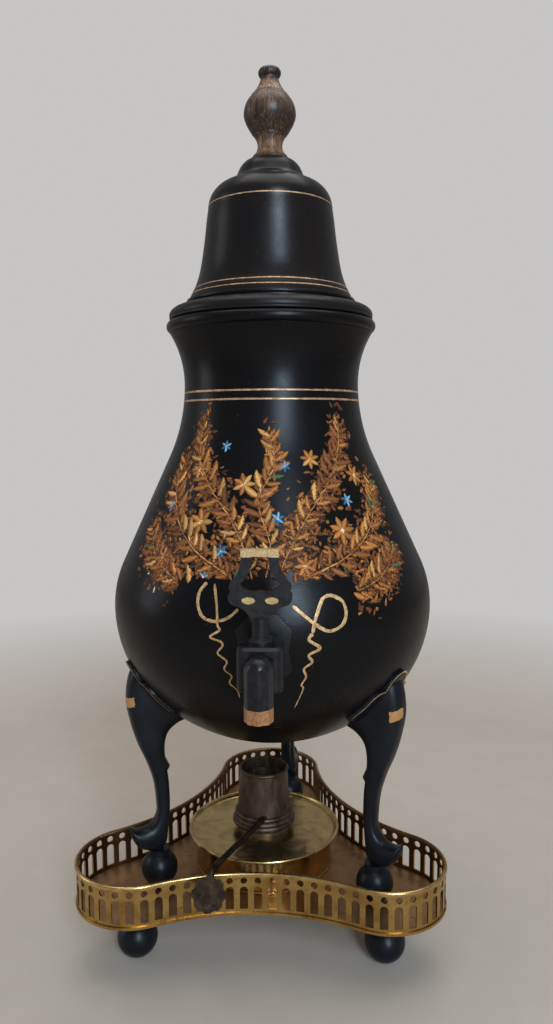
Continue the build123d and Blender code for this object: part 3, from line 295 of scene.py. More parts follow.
def turned(
    name, outline, body, slot, finish, *stands_for, centre=urn_centre, closed=False, around=224
):
    """A piece of revolution: x = cx + r cos t, y = cy + r sin t for its (r, z) outline.

    The outline starts and ends on the axis, or is a closed ring.
    """
    t = np.linspace(0, 2 * pi, around, endpoint=False)[None, :]
    radius, height = outline[:, :1], outline[:, 1:]
    x = centre[0] + radius * np.cos(t)
    points = np.stack([x, centre[1] + radius * np.sin(t), height + 0 * t], -1)
    faces = grid_faces(len(outline), around, wrap_rows=closed, wrap_columns=True)
    return piece(name, points, faces, body, slot, finish, *stands_for)


def hollow(low_point, waist, high_point, steps=14):
    """A hollow neck: a parabola through its foot, its waist and its head."""
    u = np.linspace(0, 1, steps)[:, None]
    a, b, c = (np.array(p) for p in (low_point, waist, high_point))
    return a * (2 * u - 1) * (u - 1) + b * 4 * u * (1 - u) + c * u * (2 * u - 1)


def smooth_path(knots, steps):
    """A Catmull-Rom curve through the knots, each span a cubic of its four nearest knots."""
    knots = np.asarray(knots, float)
    knots = np.vstack([2 * knots[0] - knots[1], knots, 2 * knots[-1] - knots[-2]])
    place = np.linspace(0, len(knots) - 3 - 1e-6, steps)
    span, u = place.astype(int), (place % 1)[:, None]
    a, b, c, d = (knots[span + k] for k in range(4))
    square, cube = 2 * a - 5 * b + 4 * c - d, 3 * b - a - 3 * c + d
    return 0.5 * (2 * b + (c - a) * u + square * u**2 + cube * u**3)


print("the urn's axis stands at", [round(v, 2) for v in urn_centre])

# %% [markdown]
# ## The urn's outline
# From the bottom up: a wide arc centred on the axis, a tighter side arc up to the widest ring,
# the convex shoulder, a straight flank, the hollow neck and the flare, closed by a rolled bead
# at the rim. It is the same run of arcs that the sheet was spun to. The inside is the same
# outline, one sheet's thickness smaller.


# %% Urn skin
def bottom(name):
    """The lowest height of a CAD node, in mm."""
    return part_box(name)[0].z / mm


def top(name):
    """The highest height of a CAD node, in mm."""
    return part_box(name)[1].z / mm


bottom_z, rim_z = bottom("urn_bowl"), top("urn_neck")
belly_r, bowl_deep, side_arc, sheet = 82.2, 72.5, 66.0, 1.0
neck_r, neck_rise, flare_arc, flare_rise, bead_r = 44.6, 113.0, 49.0, 26.5, 3.1
curl, shoulder_share, bead_lean = 0.753, 0.38, radians(142)

belly_z = bottom_z + bowl_deep
bottom_arc = (belly_r**2 + bowl_deep**2 - 2 * belly_r * side_arc) / (2 * (bowl_deep - side_arc))
bottom_middle = (0.0, bottom_z + bottom_arc)
side_middle = (belly_r - side_arc, belly_z)
join = degrees(atan2(side_middle[1] - bottom_middle[1], side_middle[0]))
waist_in = belly_r - neck_r
s_arcs = curl * (waist_in**2 + neck_rise**2) / (2 * waist_in)
shoulder_arc = shoulder_share * s_arcs
neck_arc = s_arcs - shoulder_arc
shoulder_middle = (belly_r - shoulder_arc, belly_z)
neck_z = belly_z + neck_rise
neck_middle = (neck_r + neck_arc, neck_z)
run, rise = neck_middle[0] - shoulder_middle[0], neck_middle[1] - shoulder_middle[1]
flank = degrees(atan2(rise, run) - np.arccos(s_arcs / hypot(run, rise)))
flare_middle = (neck_r + flare_arc, neck_z)
flare_turn = degrees(asin(flare_rise / flare_arc))
sheet_edge = arc(flare_middle, flare_arc, 180, 180 - flare_turn)[-1]
bead_middle = sheet_edge + 0.9 * bead_r * np.array([cos(bead_lean), sin(bead_lean)])
rim_reach = bead_middle[0] + bead_r


def urn_outline(grow):
    """The urn's side from its bottom to the flare's edge, grown outwards by `grow` mm."""
    points = np.vstack([
        arc(bottom_middle, bottom_arc + grow, -90, join, 40),
        arc(side_middle, side_arc + grow, join, 0, 30),
        arc(shoulder_middle, shoulder_arc + grow, 0, flank, 26),
        arc(neck_middle, neck_arc - grow, 180 + flank, 180, 30),
        arc(flare_middle, flare_arc - grow, 180, 180 - flare_turn, 18),
    ])
    steps = np.hypot(*np.diff(points, axis=0).T)
    return points[np.concatenate([[True], steps > 1e-6])]


def clear_of_bead(points):
    """The points that lie farther from the bead's middle than its radius."""
    return points[np.hypot(*(points - bead_middle).T) > bead_r]


outside, inside = clear_of_bead(urn_outline(0)), clear_of_bead(urn_outline(-sheet))
first = degrees(atan2(*(outside[-1] - bead_middle)[::-1]))
last = degrees(atan2(*(inside[-1] - bead_middle)[::-1])) % 360
urn_shell = np.vstack([outside, arc(bead_middle, bead_r, first, last, 22), inside[::-1]])
urn_shell[[0, -1], 0] = 0.0
sheets = ("urn_bowl", "urn_shoulder", "urn_neck")
turned("urn_skin", urn_shell, "urn", "black_lacquer", urn_lacquer, *sheets)
print("rim at", round(float(urn_shell[:, 1].max()), 2), "mm, CAD rim at", round(rim_z, 2))

# %% [markdown]
# ## The lid
# The bell is a second spun sheet: a beaded lip, a flare, a nearly straight side, a round
# shoulder, a small ledge and a domed crown under the finial. Its side is a smooth curve through
# a few places, because it has no clear arcs. It stands on a flange whose edge curls over the
# urn's rim.

# %% Lid bell
lip_in, lip_rise, lip_r = 11.6, 9.3, 1.3
wall_r, shoulder_r, shoulder_rise, shoulder_turn = 31.4, 13.5, 55.2, 79.0
lip_middle = (rim_reach - lip_in, rim_z + lip_rise)
lid_shoulder = (wall_r - shoulder_r, rim_z + shoulder_rise)
side_knots = [(0.0, 0.4), (-0.7, 2.4), (-1.7, 4.6), (-3.1, 7.3), (-4.5, 11.0), (-5.7, 15.2),
              (-6.9, 21.4), (-8.4, 31.4), (-9.4, 40.0),
              (wall_r - lip_middle[0], lid_shoulder[1] - lip_middle[1])]
lid_side = smooth_path(side_knots, 60) + lip_middle


def lid_outline(grow):
    """The bell's side from its lip to the top of the shoulder, grown outwards."""
    side = lid_side[:-1] + (grow, 0)
    return np.vstack([side, arc(lid_shoulder, shoulder_r + grow, 0, shoulder_turn, 26)])


lid_top, ledge = top("lid_bell"), lid_outline(0)[-1]
crown_knots = [(19.7, 0.06), (18.9, 0.12), (17.4, 0.24), (16.4, 0.42), (15.0, 0.68), (12.6, 0.91),
               (9.8, 1.0)]
crown = smooth_path(crown_knots, 30) * (1, lid_top - ledge[1]) + (0, ledge[1])
crown_z = top("finial_washer") + 0.1
inside_knots = [(9.0, crown_z), (13.2, crown_z - 1.2), (14.8, ledge[1] + 2.6), (18.0, ledge[1] - 0.4)]
bell = np.vstack([
    arc(lip_middle, lip_r, 150, 400, 18), lid_outline(0)[1:],
    arc((19.9, ledge[1] + 0.35), 0.4, -20, 90, 5), crown,
    [(0, lid_top), (0, crown_z)], smooth_path(inside_knots, 14), lid_outline(-sheet)[::-1],
])
turned("lid_skin", bell, "lid", "black_lacquer", lid_lacquer, "lid_bell", closed=True)
print("lid top", round(lid_top, 2), "ledge", ledge.round(2), "crown underside", round(crown_z, 2))

# %% [markdown]
# ## The lid's flange and collar
# The flange is a flattened quarter-round of sheet with a hem along its edge and a short throat
# that carries the bell. Fingers and dust dull its upper side, so its lacquer is greyer there:
# the finish reads how far the surface faces upwards. Inside, a collar with a turned-in top edge
# keeps the lid in the urn's mouth.


# %% Lid flange
def girth(name):
    """The radius of a round CAD node, in mm: half the width of its box."""
    low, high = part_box(name)
    return (high.x - low.x) / 2 / mm


flange_r, hem_r, hem_track, hem_angle, throat_half = 6.8, 0.8, 6.3, -20, 0.7
flat = np.array([1.0, 0.68])
hem_place = arc((0, 0), hem_track, hem_angle, 0)[0] * flat
flange_middle = np.array([rim_reach - 1.5 - flange_r, rim_z + 0.1 + hem_r - hem_place[1]])
flange_top = flange_middle[1] + flange_r * flat[1]
throat_in, throat_out = lip_middle[0] - throat_half, lip_middle[0] + throat_half
throat_top = lip_middle[1] - 1.2
flange = np.vstack([
    arc(flange_middle + hem_place, hem_r, hem_angle - 150, hem_angle + 60, 16),
    arc((0, 0), flange_r, -8, 90) * flat + flange_middle,
    [(throat_out, flange_top), (throat_out, throat_top), (throat_in, throat_top)],
    [(throat_in, flange_top - sheet)],
    arc((0, 0), flange_r - sheet, 90, -8) * flat + flange_middle,
])
dusty = lacquer("flange_lacquer", (0.008, 0.0068, 0.0062), (0.006, 0.006, 0.007), 0.38, 0.18)
wear = dusty.ramp(dusty.noise(3.4, 6.0, warp=1.0), (0.48, 0.0), (0.70, 1.0))
upward = dusty.ramp(dusty.split(dusty.facing)[2], (0.45, 0.0), (0.95, 1.0))
dusty.surface(dusty.mix(upward * wear * 0.22, dusty.colour, (0.17, 0.145, 0.12)))
turned("flange_skin", flange, "lid", "black_lacquer", dusty, "lid_flange", closed=True)

low, high = bottom("lid_collar"), flange_top - 1.1
collar = np.array([
    (0, low), (0, high - 0.4), (-0.9, high), (-3.2, high), (-3.2, high - 0.8),
    (-0.8, high - 0.8), (-0.8, low),
]) + (girth("lid_collar"), 0)
turned("collar_skin", collar, "lid", "black_lacquer", lid_lacquer, "lid_collar", closed=True)

# %% [markdown]
# ## The finial
# Turned hardwood, stained and lacquered dark, with the stain worn off the two hollow necks so
# that they show tan wood. Turning cuts along the grain, which runs upright here: noise that is
# stretched along z gives fine dark lines.

# %% Finial
finial_z, finial_tall = bottom("lid_finial"), 45.5
body_knots = [(8.9, 12.9), (10.1, 14.7), (12.1, 18.3), (13.1, 22.3), (12.0, 27.2), (9.0, 31.6)]
finial = np.vstack([
    [(0, 0), (9.1, 0), (9.4, 0.4), (9.3, 1.2), (8.9, 1.6), (8.5, 1.7), (8.6, 2.2)],
    hollow((8.2, 2.4), (6.2, 7.0), (8.2, 12.2)),
    [(8.2, 12.5), (8.7, 12.6)], smooth_path(body_knots, 40),
    [(8.6, 31.8), (8.1, 31.9), (8.2, 32.2)],
    hollow((8.2, 32.3), (6.1, 35.3), (4.5, 38.9)),
    arc((3.1, 42.0), 2.6, -55, 90, 14), [(1.6, 45.2), (0, finial_tall)],
]) + (0, finial_z)
wood = Finish("turned_wood", (0.05, 0.025, 0.012), Specular_IOR_Level=0.3, Coat_Weight=0.1)
wood.shader.inputs["Coat Roughness"].default_value = 0.3
grain = wood.noise(0.9, 6.0, stretch=(1, 1, 16), warp=0.4)
figure = wood.noise(3.2, 4.0, stretch=(1, 1, 9), warp=1.2)
share = (wood.split()[2] - finial_z * mm) / (finial_tall * mm)
bare = wood.ramp(
    share + (figure - 0.5) * 0.07, (0.03, 0.1), (0.06, 0.85), (0.19, 0.75), (0.25, 0.15),
    (0.40, 0.0), (0.60, 0.30), (0.69, 0.25), (0.72, 0.9), (0.82, 0.7), (0.86, 0.0),
)
stained = wood.ramp(
    grain, (0.38, (0.008, 0.005, 0.004)), (0.56, (0.030, 0.017, 0.011)),
    (0.70, (0.10, 0.058, 0.034)),
)
worn = wood.ramp(
    grain, (0.36, (0.075, 0.036, 0.018)), (0.56, (0.25, 0.130, 0.064)), (0.72, (0.43, 0.25, 0.130)),
)
wood.surface(wood.mix(bare, stained, worn), (figure, 0.32, 0.55), grain, 0.05)
turned("finial", finial, "lid", "turned_wood", wood, "lid_finial", around=160)

# %% [markdown]
# ## Painting on a round surface
# Lines, flourishes and flowers lie on the lacquer as raised paint. A painted place is given by
# its turn from the front and its run along the outline, and `Skin.point` turns that into a
# point. `ribbons` lays flat bands of four points across: two edges sunk in the lacquer, a crest
# above it and a keel below. Hundreds of them are worked out together as one array.


# %% Paint helpers
class Skin:
    """A spun surface to paint on: run length, radius, height and outward normal of its side.

    The normal is the side's own direction (dr, dz) turned a quarter, which is (dz, -dr).
    """

    def __init__(self, outline):
        legs = np.hypot(*np.diff(outline, axis=0).T)
        self.run = np.concatenate([[0], np.cumsum(legs)])
        tangent = np.gradient(outline, self.run, axis=0)
        tangent /= np.linalg.norm(tangent, axis=1)[:, None]
        self.radius, self.height = outline.T
        self.out_r, self.out_z = tangent[:, 1], -tangent[:, 0]

    def run_at(self, height):
        """The run length at a height, straight between the outline's points."""
        return np.interp(height, self.height, self.run)

    def radius_at(self, run):
        """The radius at a run length, found in the same way."""
        return np.interp(run, self.run, self.radius)

    def point(self, turn, run, lift):
        """(radius + lift out_r) turned from the front by `turn`, at height + lift out_z."""
        reach = self.radius_at(run) + lift * np.interp(run, self.run, self.out_r)
        height = np.interp(run, self.run, self.height) + lift * np.interp(run, self.run, self.out_z)
        x = urn_centre[0] + reach * np.sin(turn)
        return np.stack([x, urn_centre[1] - reach * np.cos(turn), height], -1)


def ribbons(skin, turn, run, half, crest=0.07, lift=0.0, loop=False):
    """Ribbons along paths: each row of turn and run is a path, `half` its half width.

    A path's direction at a point is the difference of its neighbours. The side is at a right
    angle to that, `half` long. The four points across are one side, crest, other side and keel.
    """
    if loop:
        across = np.roll(turn, -1, 1) - np.roll(turn, 1, 1)
        across = (across + pi) % (2 * pi) - pi
        along = np.roll(run, -1, 1) - np.roll(run, 1, 1)
    else:
        across, along = np.gradient(turn, axis=1), np.gradient(run, axis=1)
    radius = skin.radius_at(run)
    across = across * radius
    length = np.hypot(across, along) + 1e-9
    side_turn, side_run = -along / length * half / radius, across / length * half
    full = np.clip(half / (half.max(1, keepdims=True) + 1e-9), 0, 1) ** 0.5
    grid = np.stack([
        skin.point(turn + side_turn, run + side_run, lift - 0.03 * full),
        skin.point(turn, run, lift + crest * full),
        skin.point(turn - side_turn, run - side_run, lift - 0.03 * full),
        skin.point(turn, run, lift - 0.09 * full),
    ], 2)
    faces = grid_faces(grid.shape[1], 4, wrap_rows=loop, wrap_columns=True, copies=len(grid))
    return grid, faces


urn_paint, lid_paint = Skin(outside), Skin(lid_outline(0))
print("the urn's side is", round(urn_paint.run[-1]), "mm long, the lid's", round(lid_paint.run[-1]))

# %% [markdown]
# ## Gold lines
# A liner drew them with a long brush while the piece turned: one line on the lid's shoulder, a
# pair above the flange and a bolder pair on the neck. The gold is bronze powder in varnish, so
# it is half metal, and its colour changes with how thick the powder lies. A slow wave in width
# and height shows the hand.

# %% Gold lines
gold = Finish("gold_paint", (0.50, 0.30, 0.12), Metallic=0.35, Specular_IOR_Level=0.4)
powder = gold.noise(1.6, 5.0)
tones = gold.ramp(
    powder, (0.32, (0.30, 0.155, 0.058)), (0.52, (0.50, 0.30, 0.13)), (0.72, (0.66, 0.45, 0.23)),
)
gold.surface(tones, (gold.noise(0.5, 3.0), 0.36, 0.60), powder, 0.006)
line_gold = Finish("line_gold", (0.40, 0.20, 0.075), Metallic=0.4, Specular_IOR_Level=0.4)
thin = line_gold.noise(2.4, 5.0, warp=0.8)
tones = line_gold.ramp(
    thin, (0.30, (0.27, 0.135, 0.062)), (0.48, (0.42, 0.235, 0.120)), (0.70, (0.62, 0.39, 0.23)),
)
line_gold.surface(tones, (thin, 0.55, 0.38))
chance = np.random.default_rng(11)


def gold_line(name, skin, body, height, half):
    """A closed ring of paint at a height, with slow waves in its width and place."""
    turn = np.linspace(0, 2 * pi, 360, endpoint=False)[None, :]
    phase = chance.uniform(0, 2 * pi, 4)
    wave = np.sin(3 * turn + phase[0]) + 0.7 * np.sin(7 * turn + phase[1])
    quiver = np.sin(23 * turn + phase[2]) + np.sin(41 * turn + phase[3])
    width = half * (1 + 0.10 * wave + 0.06 * quiver)
    run = skin.run_at(height) + 0.05 * wave
    grid, faces = ribbons(skin, turn, run, width, crest=0.05, loop=True)
    piece(name, grid, faces, body, "gallery_brass", line_gold)


gold_line("line_lid_shoulder", lid_paint, "lid", rim_z + 56.2, 0.46)
gold_line("line_lid_upper", lid_paint, "lid", rim_z + 15.6, 0.42)
gold_line("line_lid_lower", lid_paint, "lid", rim_z + 12.9, 0.42)
gold_line("line_neck_upper", urn_paint, "urn", 286.1, 0.62)
gold_line("line_neck_lower", urn_paint, "urn", 281.9, 0.62)

# %% [markdown]
# ## Flourishes beside the tap
# On each side a loop runs in towards the key and a tail wriggles down beside the spout. Each is
# one brush movement, full where the brush was pressed and thin where it was lifted. A smooth
# curve through a few places follows the hand better than a formula would. A place is the turn
# from the front in degrees and the height, and the two numbers before them say how hard the
# brush was pressed at the start and at the end.

# %% Flourishes
flourishes = {
    "flourish_left_loop": (1.0, 0.75, [
        (-19.2, 200.9), (-21.1, 197.3), (-21.4, 192.1), (-19.7, 186.9),
        (-17.0, 185.1), (-14.3, 185.0), (-10.8, 186.9), (-7.8, 190.6)]),
    "flourish_left_tail": (0.75, 0.3, [
        (-16.4, 200.7), (-14.8, 191.3), (-14.3, 183.5), (-13.7, 181.1), (-16.7, 177.9),
        (-13.2, 176.1), (-12.8, 174.1), (-14.4, 170.7), (-11.6, 167.3), (-12.6, 163.4),
        (-10.4, 160.3), (-11.3, 156.8), (-9.1, 153.4), (-8.5, 149.5)]),
    "flourish_right_loop": (0.9, 1.0, [
        (8.9, 192.0), (12.2, 188.0), (15.7, 183.8), (20.0, 180.4), (24.2, 182.2), (26.0, 186.7),
        (25.3, 192.4), (21.7, 195.4), (19.0, 194.7), (17.6, 191.9), (15.7, 185.3), (14.9, 179.9)]),
    "flourish_right_tail": (1.0, 0.3, [
        (14.9, 179.9), (13.8, 177.0), (17.2, 173.1), (13.8, 170.2), (14.9, 166.9),
        (12.4, 163.9), (13.2, 160.0), (11.9, 156.1), (12.5, 153.6), (10.3, 143.7)]),
}
share = np.linspace(0, 1, 150)
tip = np.minimum(1, np.minimum(share, 1 - share) * 60) ** 0.5
tremble = 1 + 0.10 * np.sin(31 * share + 1.3) + 0.06 * np.sin(67 * share)
for name, (start, end, knots) in flourishes.items():
    turn, height = smooth_path(knots, 150).T[:, None]
    half = 0.82 * (start + (end - start) * share) * tip * tremble
    run = urn_paint.run_at(height)
    grid, faces = ribbons(urn_paint, np.radians(turn), run, half[None], crest=0.06, lift=0.02)
    piece(name, grid, faces, "urn", "gallery_brass", gold)

# %% [markdown]
# ## The painted flowers
# The belly's front carries a painted band in ochre, sienna and brown with small blue and green
# accents. Here it is a generic spray: stems that fan out from behind the key, autumn leaves
# along them and a few small flowers. Each leaf, petal and dab is one brush stroke of two dozen
# faces, and its colour is stored in an attribute that the finish reads. Painting it as geometry
# keeps crisp edges at any distance, which noise in a material can't do.


# %% Brush strokes
layers = []
palette = {
    "umber": (0.070, 0.026, 0.010), "sienna": (0.175, 0.056, 0.016), "rust": (0.27, 0.088, 0.022),
    "ochre": (0.42, 0.155, 0.034), "straw": (0.56, 0.275, 0.078), "cream": (0.74, 0.57, 0.36),
    "blue": (0.030, 0.16, 0.30), "pale_blue": (0.16, 0.36, 0.52), "leaf": (0.055, 0.11, 0.040),
}
belly_reach = 70.0


def shades(names, weights, count):
    """Random colours from the palette, each a little lighter or darker than its pot."""
    pots = np.array([palette[n] for n in names])
    picked = pots[chance.choice(len(names), count, p=np.array(weights) / sum(weights))]
    return picked * chance.uniform(0.72, 1.22, (count, 1))


def lay(turn, height, angle, length, width, bend, colour):
    """Adds strokes at places in degrees and mm of height. One number serves for all of them."""
    fields = np.radians(turn), urn_paint.run_at(height), angle, length, width, bend
    layers.append([*np.broadcast_arrays(*fields), colour])


def strokes(turn, run, angle, length, width, bend, colour):
    """Short ribbons: centre, direction, length, width and bend of each, as one array.

    Along a stroke, s goes from -1 to 1. Its centre line is s times half the length along its
    direction, plus bend times (1 - s squared) across it. The width swells as a half sine.
    """
    s = np.linspace(-1, 1, 7)[None, :]
    ahead, across = s * length[:, None] / 2, bend[:, None] * (1 - s**2)
    dx = ahead * np.cos(angle)[:, None] - across * np.sin(angle)[:, None]
    dy = ahead * np.sin(angle)[:, None] + across * np.cos(angle)[:, None]
    half = width[:, None] / 2 * np.cos(pi / 2 * s) ** 0.75 * (1 - 0.22 * s)
    lift = 0.02 + 0.05 * np.linspace(0, 1, len(turn))[:, None]
    turns = turn[:, None] + dx / urn_paint.radius_at(run)[:, None]
    grid, faces = ribbons(urn_paint, turns, run[:, None] + dy, half, crest=0.05, lift=lift)
    return grid, faces, np.repeat(colour, 7 * 4, axis=0)


stem_knots = [
    [(-5, 197), (-15, 206), (-27, 214), (-39, 226), (-47, 240), (-49, 254)],
    [(5, 196), (16, 204), (29, 210), (42, 219), (52, 231), (57, 243)],
    [(-3, 199), (-7, 214), (-15, 229), (-27, 242), (-38, 256), (-41, 269)],
    [(3, 199), (9, 215), (18, 230), (30, 244), (41, 259), (45, 271)],
    [(0, 200), (2, 217), (-3, 236), (4, 252), (1, 266)],
    [(-7, 194), (-20, 197), (-34, 202), (-47, 211), (-55, 222)],
    [(7, 193), (20, 195), (34, 197), (46, 203), (55, 212)],
]
stems = [smooth_path(knots, 60) for knots in stem_knots]
middle_stem = 4
print(len(stems), "stems")

# %% [markdown]
# Loose dabs come first, as the shadowy mass of foliage, thinner and brighter on the middle
# stem. Leaves lie over them in pairs along each stem, each with a lighter vein.

# %% Leaves and dabs
for number, stem in enumerate(stems):
    many, start, spread, pot = (140, 20, 3.0, 1) if number == middle_stem else (620, 8, 5.0, 0)
    at = chance.integers(start, 60, many)
    turn = stem[at, 0] + chance.normal(0, spread, many) * 0.62
    height = stem[at, 1] + chance.normal(0, spread, many)
    names = ["umber", "sienna", "rust", "ochre"][pot:]
    lay(
        turn, height, chance.uniform(-0.5, pi + 0.5, many), chance.uniform(1.8, 4.4, many),
        chance.uniform(1.1, 2.4, many), chance.normal(0, 0.3, many),
        shades(names, [5, 6, 4, 2][: len(names)], many) * 0.82,
    )
for stem in stems:
    at = np.arange(6, 60, 3)
    heading = np.arctan2(np.gradient(stem[:, 1]), np.gradient(stem[:, 0]) * 1.25)[at]
    for side in (1, -1):
        splay = heading + side * chance.uniform(0.55, 1.05, len(at))
        size = (4.2 + 5.2 * np.sin(pi * at / 66)) * chance.uniform(0.8, 1.2, len(at))
        turn = stem[at, 0] + np.degrees(np.cos(splay) * size * 0.55 / belly_reach)
        height = stem[at, 1] + np.sin(splay) * size * 0.55
        colours = shades(["rust", "ochre", "straw", "sienna", "leaf"], [5, 6, 3, 4, 1], len(at))
        lay(turn, height, splay, size, size * 0.34, side * size * 0.06, colours)
        lay(turn, height, splay, size * 0.72, size * 0.07, side * size * 0.06, colours * 1.4)
print("leaves on", len(stems), "stems, in", len(layers), "layers")

# %% [markdown]
# Then come the stems themselves, larger ochre flowers, small blue ones and a few light touches.
# The strokes that would cover the flourishes beside the tap are left out, and the rest becomes
# one mesh. Its finish multiplies each stroke's own colour by the drag of the bristles.

# %% Stems, flowers and accents
for stem in stems:
    at = np.arange(0, 57, 3)
    middle = (stem[at] + stem[at + 3]) / 2
    step_up = stem[at + 3, 1] - stem[at, 1]
    step_on = np.radians(stem[at + 3, 0] - stem[at, 0]) * belly_reach
    angle, length = np.arctan2(step_up, step_on), np.hypot(step_up, step_on) * 1.25
    tone = shades(["ochre", "straw"], [1, 1], len(at))
    lay(middle[:, 0], middle[:, 1], angle, length, 0.75, 0.0, tone)


def flower(turn, height, reach, petals, names):
    """Petals around a middle: stroke k points at k full turns over `petals`."""
    spoke = np.arange(petals) * 2 * pi / petals + chance.uniform(0, 1)
    radius = urn_paint.radius_at(urn_paint.run_at(height))
    around = turn + np.degrees(np.cos(spoke) * reach * 0.5 / radius)
    above = height + np.sin(spoke) * reach * 0.5
    lay(around, above, spoke, reach, reach * 0.46, 0.0, shades(names, [1] * len(names), petals))
    eye = np.arange(4) * pi / 4
    lay(turn, height, eye, 0.5 * reach, 0.22 * reach, 0.0, shades(["straw", "cream"], [2, 1], 4))


for turn, height, reach in [(-27, 226, 6.6), (31, 222, 6.8), (-10, 243, 5.6), (14, 208, 5.4),
                            (-41, 209, 5.2), (46, 246, 5.4), (-35, 249, 4.8), (22, 254, 5.0)]:
    flower(turn, height, reach, 7, ["ochre", "straw", "ochre"])
for turn, height, reach in [(-16, 214, 3.4), (24, 199, 3.2), (5, 228, 3.4), (37, 235, 3.4),
                            (-21, 203, 3.0), (-46, 232, 3.2), (9, 251, 3.0), (-22, 260, 2.9)]:
    flower(turn, height, reach, 6, ["blue", "pale_blue"])
many = 70
at, which = chance.integers(10, 50, many), chance.integers(0, len(stems), many)
spot = np.array([stems[w][a] for w, a in zip(which, at)])
lay(
    spot[:, 0] + chance.normal(0, 3, many), spot[:, 1] + chance.normal(0, 4, many),
    chance.uniform(0, pi, many), chance.uniform(1.2, 3.6, many), chance.uniform(0.5, 0.9, many),
    chance.normal(0, 0.3, many), shades(["leaf", "straw", "cream"], [3, 3, 1], many),
)

paint = Finish("spray_paint", (0.3, 0.15, 0.05), Specular_IOR_Level=0.2)
pot = paint.node("ShaderNodeAttribute", (), "Color", attribute_name="paint", attribute_type="GEOMETRY")
drag = paint.noise(0.7, 4.0)
thick = paint.ramp(drag, (0.25, 0.62), (0.75, 1.18))
paint.surface(paint.mix(1.0, pot, thick, "MULTIPLY"), (drag, 0.42, 0.62), drag, 0.03)

flourish_top, flourish_turn = urn_paint.run_at(203.0), radians(31)
fields = [np.concatenate([row[k] for row in layers]) for k in range(7)]
over_flourish = (fields[1] < flourish_top) & (np.abs(fields[0]) < flourish_turn)
grid, faces, colour = strokes(*(field[~over_flourish] for field in fields))
piece(
    "painted_spray", grid, faces, "urn", "black_lacquer", paint, soft_angle=180.0, paint=colour,
)

# %% [markdown]
# ## Legs and ball feet
# Cast legs, lacquered a colder black than the sheet, with brush streaks that follow their
# length. On each knee sits a small gold patch. It is a mask in the finish, because it lies on a
# double curve: a box around its place, with a ragged edge from noise.


# %% Leg finish
def leg_finish(name, patch):
    """Cold black lacquer with a gold patch of about 9 by 5 mm around a place in mm."""
    made = Finish(name, (0.005, 0.006, 0.008), Specular_IOR_Level=0.20)
    streaks = made.noise(1.8, 5.0, stretch=(1, 1, 7), warp=0.5)
    clouds = made.noise(11.0, 4.0)
    cold = made.ramp(clouds, (0.35, 0.0), (0.7, 1.0))
    colour, metal = made.mix(cold, (0.0036, 0.0042, 0.0052), (0.0060, 0.0078, 0.0105)), None
    if patch:
        x, y, z = made.split(made.vector("SUBTRACT", made.place, [v * mm for v in patch]))
        ragged = (made.noise(2.0, 3.0) - 0.5) * 0.0022
        wide = (x**2 + y**2) ** 0.5 + ragged < 4.5 * mm
        tall = made.math("ABSOLUTE", z + x * -0.25) + ragged < 2.5 * mm
        mask = wide * tall
        colour, metal = made.mix(mask, colour, (0.44, 0.225, 0.090)), mask * 0.35
    made.surface(colour, streaks * 0.22 + clouds * 0.16 + 0.16, streaks, 0.03, metal)
    return made


leg_finish("ball_lacquer", None).dress(
    "foot_ball_back", "foot_ball_front_left", "foot_ball_front_right",
    "tray_foot_back", "tray_foot_left", "tray_foot_right",
)
print("ball feet finished")

# %% [markdown]
# The leg is one casting from the knee to the turned-up toe. It is a tube whose cross-section is
# a rounded oblong. Two smooth curves in the leg's own upright plane carry it, one along the
# inner edge and one along the outer, and its width follows a third list. Where the knee would
# run into the urn, its points are pushed out to the belly, so it meets the sheet cleanly.

# %% Cast legs
hip_angle, ball_r, sole_z, steps = radians(35), 64.0, bottom("leg_front_left"), 150
hip = (belly_r * cos(hip_angle), belly_z - bowl_deep * sin(hip_angle))
inner_shank = [(-23.9, 0.887), (-19.7, 0.818), (-13.1, 0.787), (-8.0, 0.739), (-5.8, 0.660),
               (-5.8, 0.552), (-6.8, 0.432), (-6.7, 0.277)]
outer_shank = [(3.1, 1.175), (9.1, 1.133), (12.1, 0.971), (10.6, 0.816), (7.6, 0.678),
               (3.8, 0.558), (0.8, 0.426), (0.0, 0.283)]
inner_foot = [(-5.0, 14.6), (-4.4, 8.6), (-3.6, 3.4), (-0.6, 0.5), (5.2, 0.3), (10.6, 2.4),
              (13.6, 6.6), (14.9, 10.6)]
outer_foot = [(1.0, 19.2), (2.8, 15.0), (5.4, 12.7), (8.0, 11.9), (10.2, 11.7), (12.2, 12.1),
              (13.8, 12.9), (15.1, 13.7)]
widths = [19.0, 18.0, 16.0, 14.0, 12.3, 10.4, 9.0, 8.2, 8.4, 9.0, 9.8, 10.4, 10.4, 9.6, 7.6, 2.4]


def leg_edge(shank, foot):
    """An edge of the leg in its plane: the shank's places are shares of the way to the hip."""
    off, up = np.array(shank).T
    upper = np.stack([ball_r + up * (hip[0] - ball_r) + off, sole_z + up * (hip[1] - sole_z)], 1)
    return smooth_path(np.vstack([upper, np.array(foot) + (ball_r, sole_z)]), steps)


inner_edge, outer_edge = leg_edge(inner_shank, inner_foot), leg_edge(outer_shank, outer_foot)

# Two bell curves along the inner edge raise its spur.
along = np.linspace(0, 1, steps)
spur = np.exp(-(((along - 0.352) / 0.008) ** 2)) + 0.8 * np.exp(-(((along - 0.337) / 0.014) ** 2))
inward = (inner_edge - outer_edge) / np.linalg.norm(inner_edge - outer_edge, axis=1)[:, None]
inner_edge = inner_edge + inward * spur[:, None] * 1.5

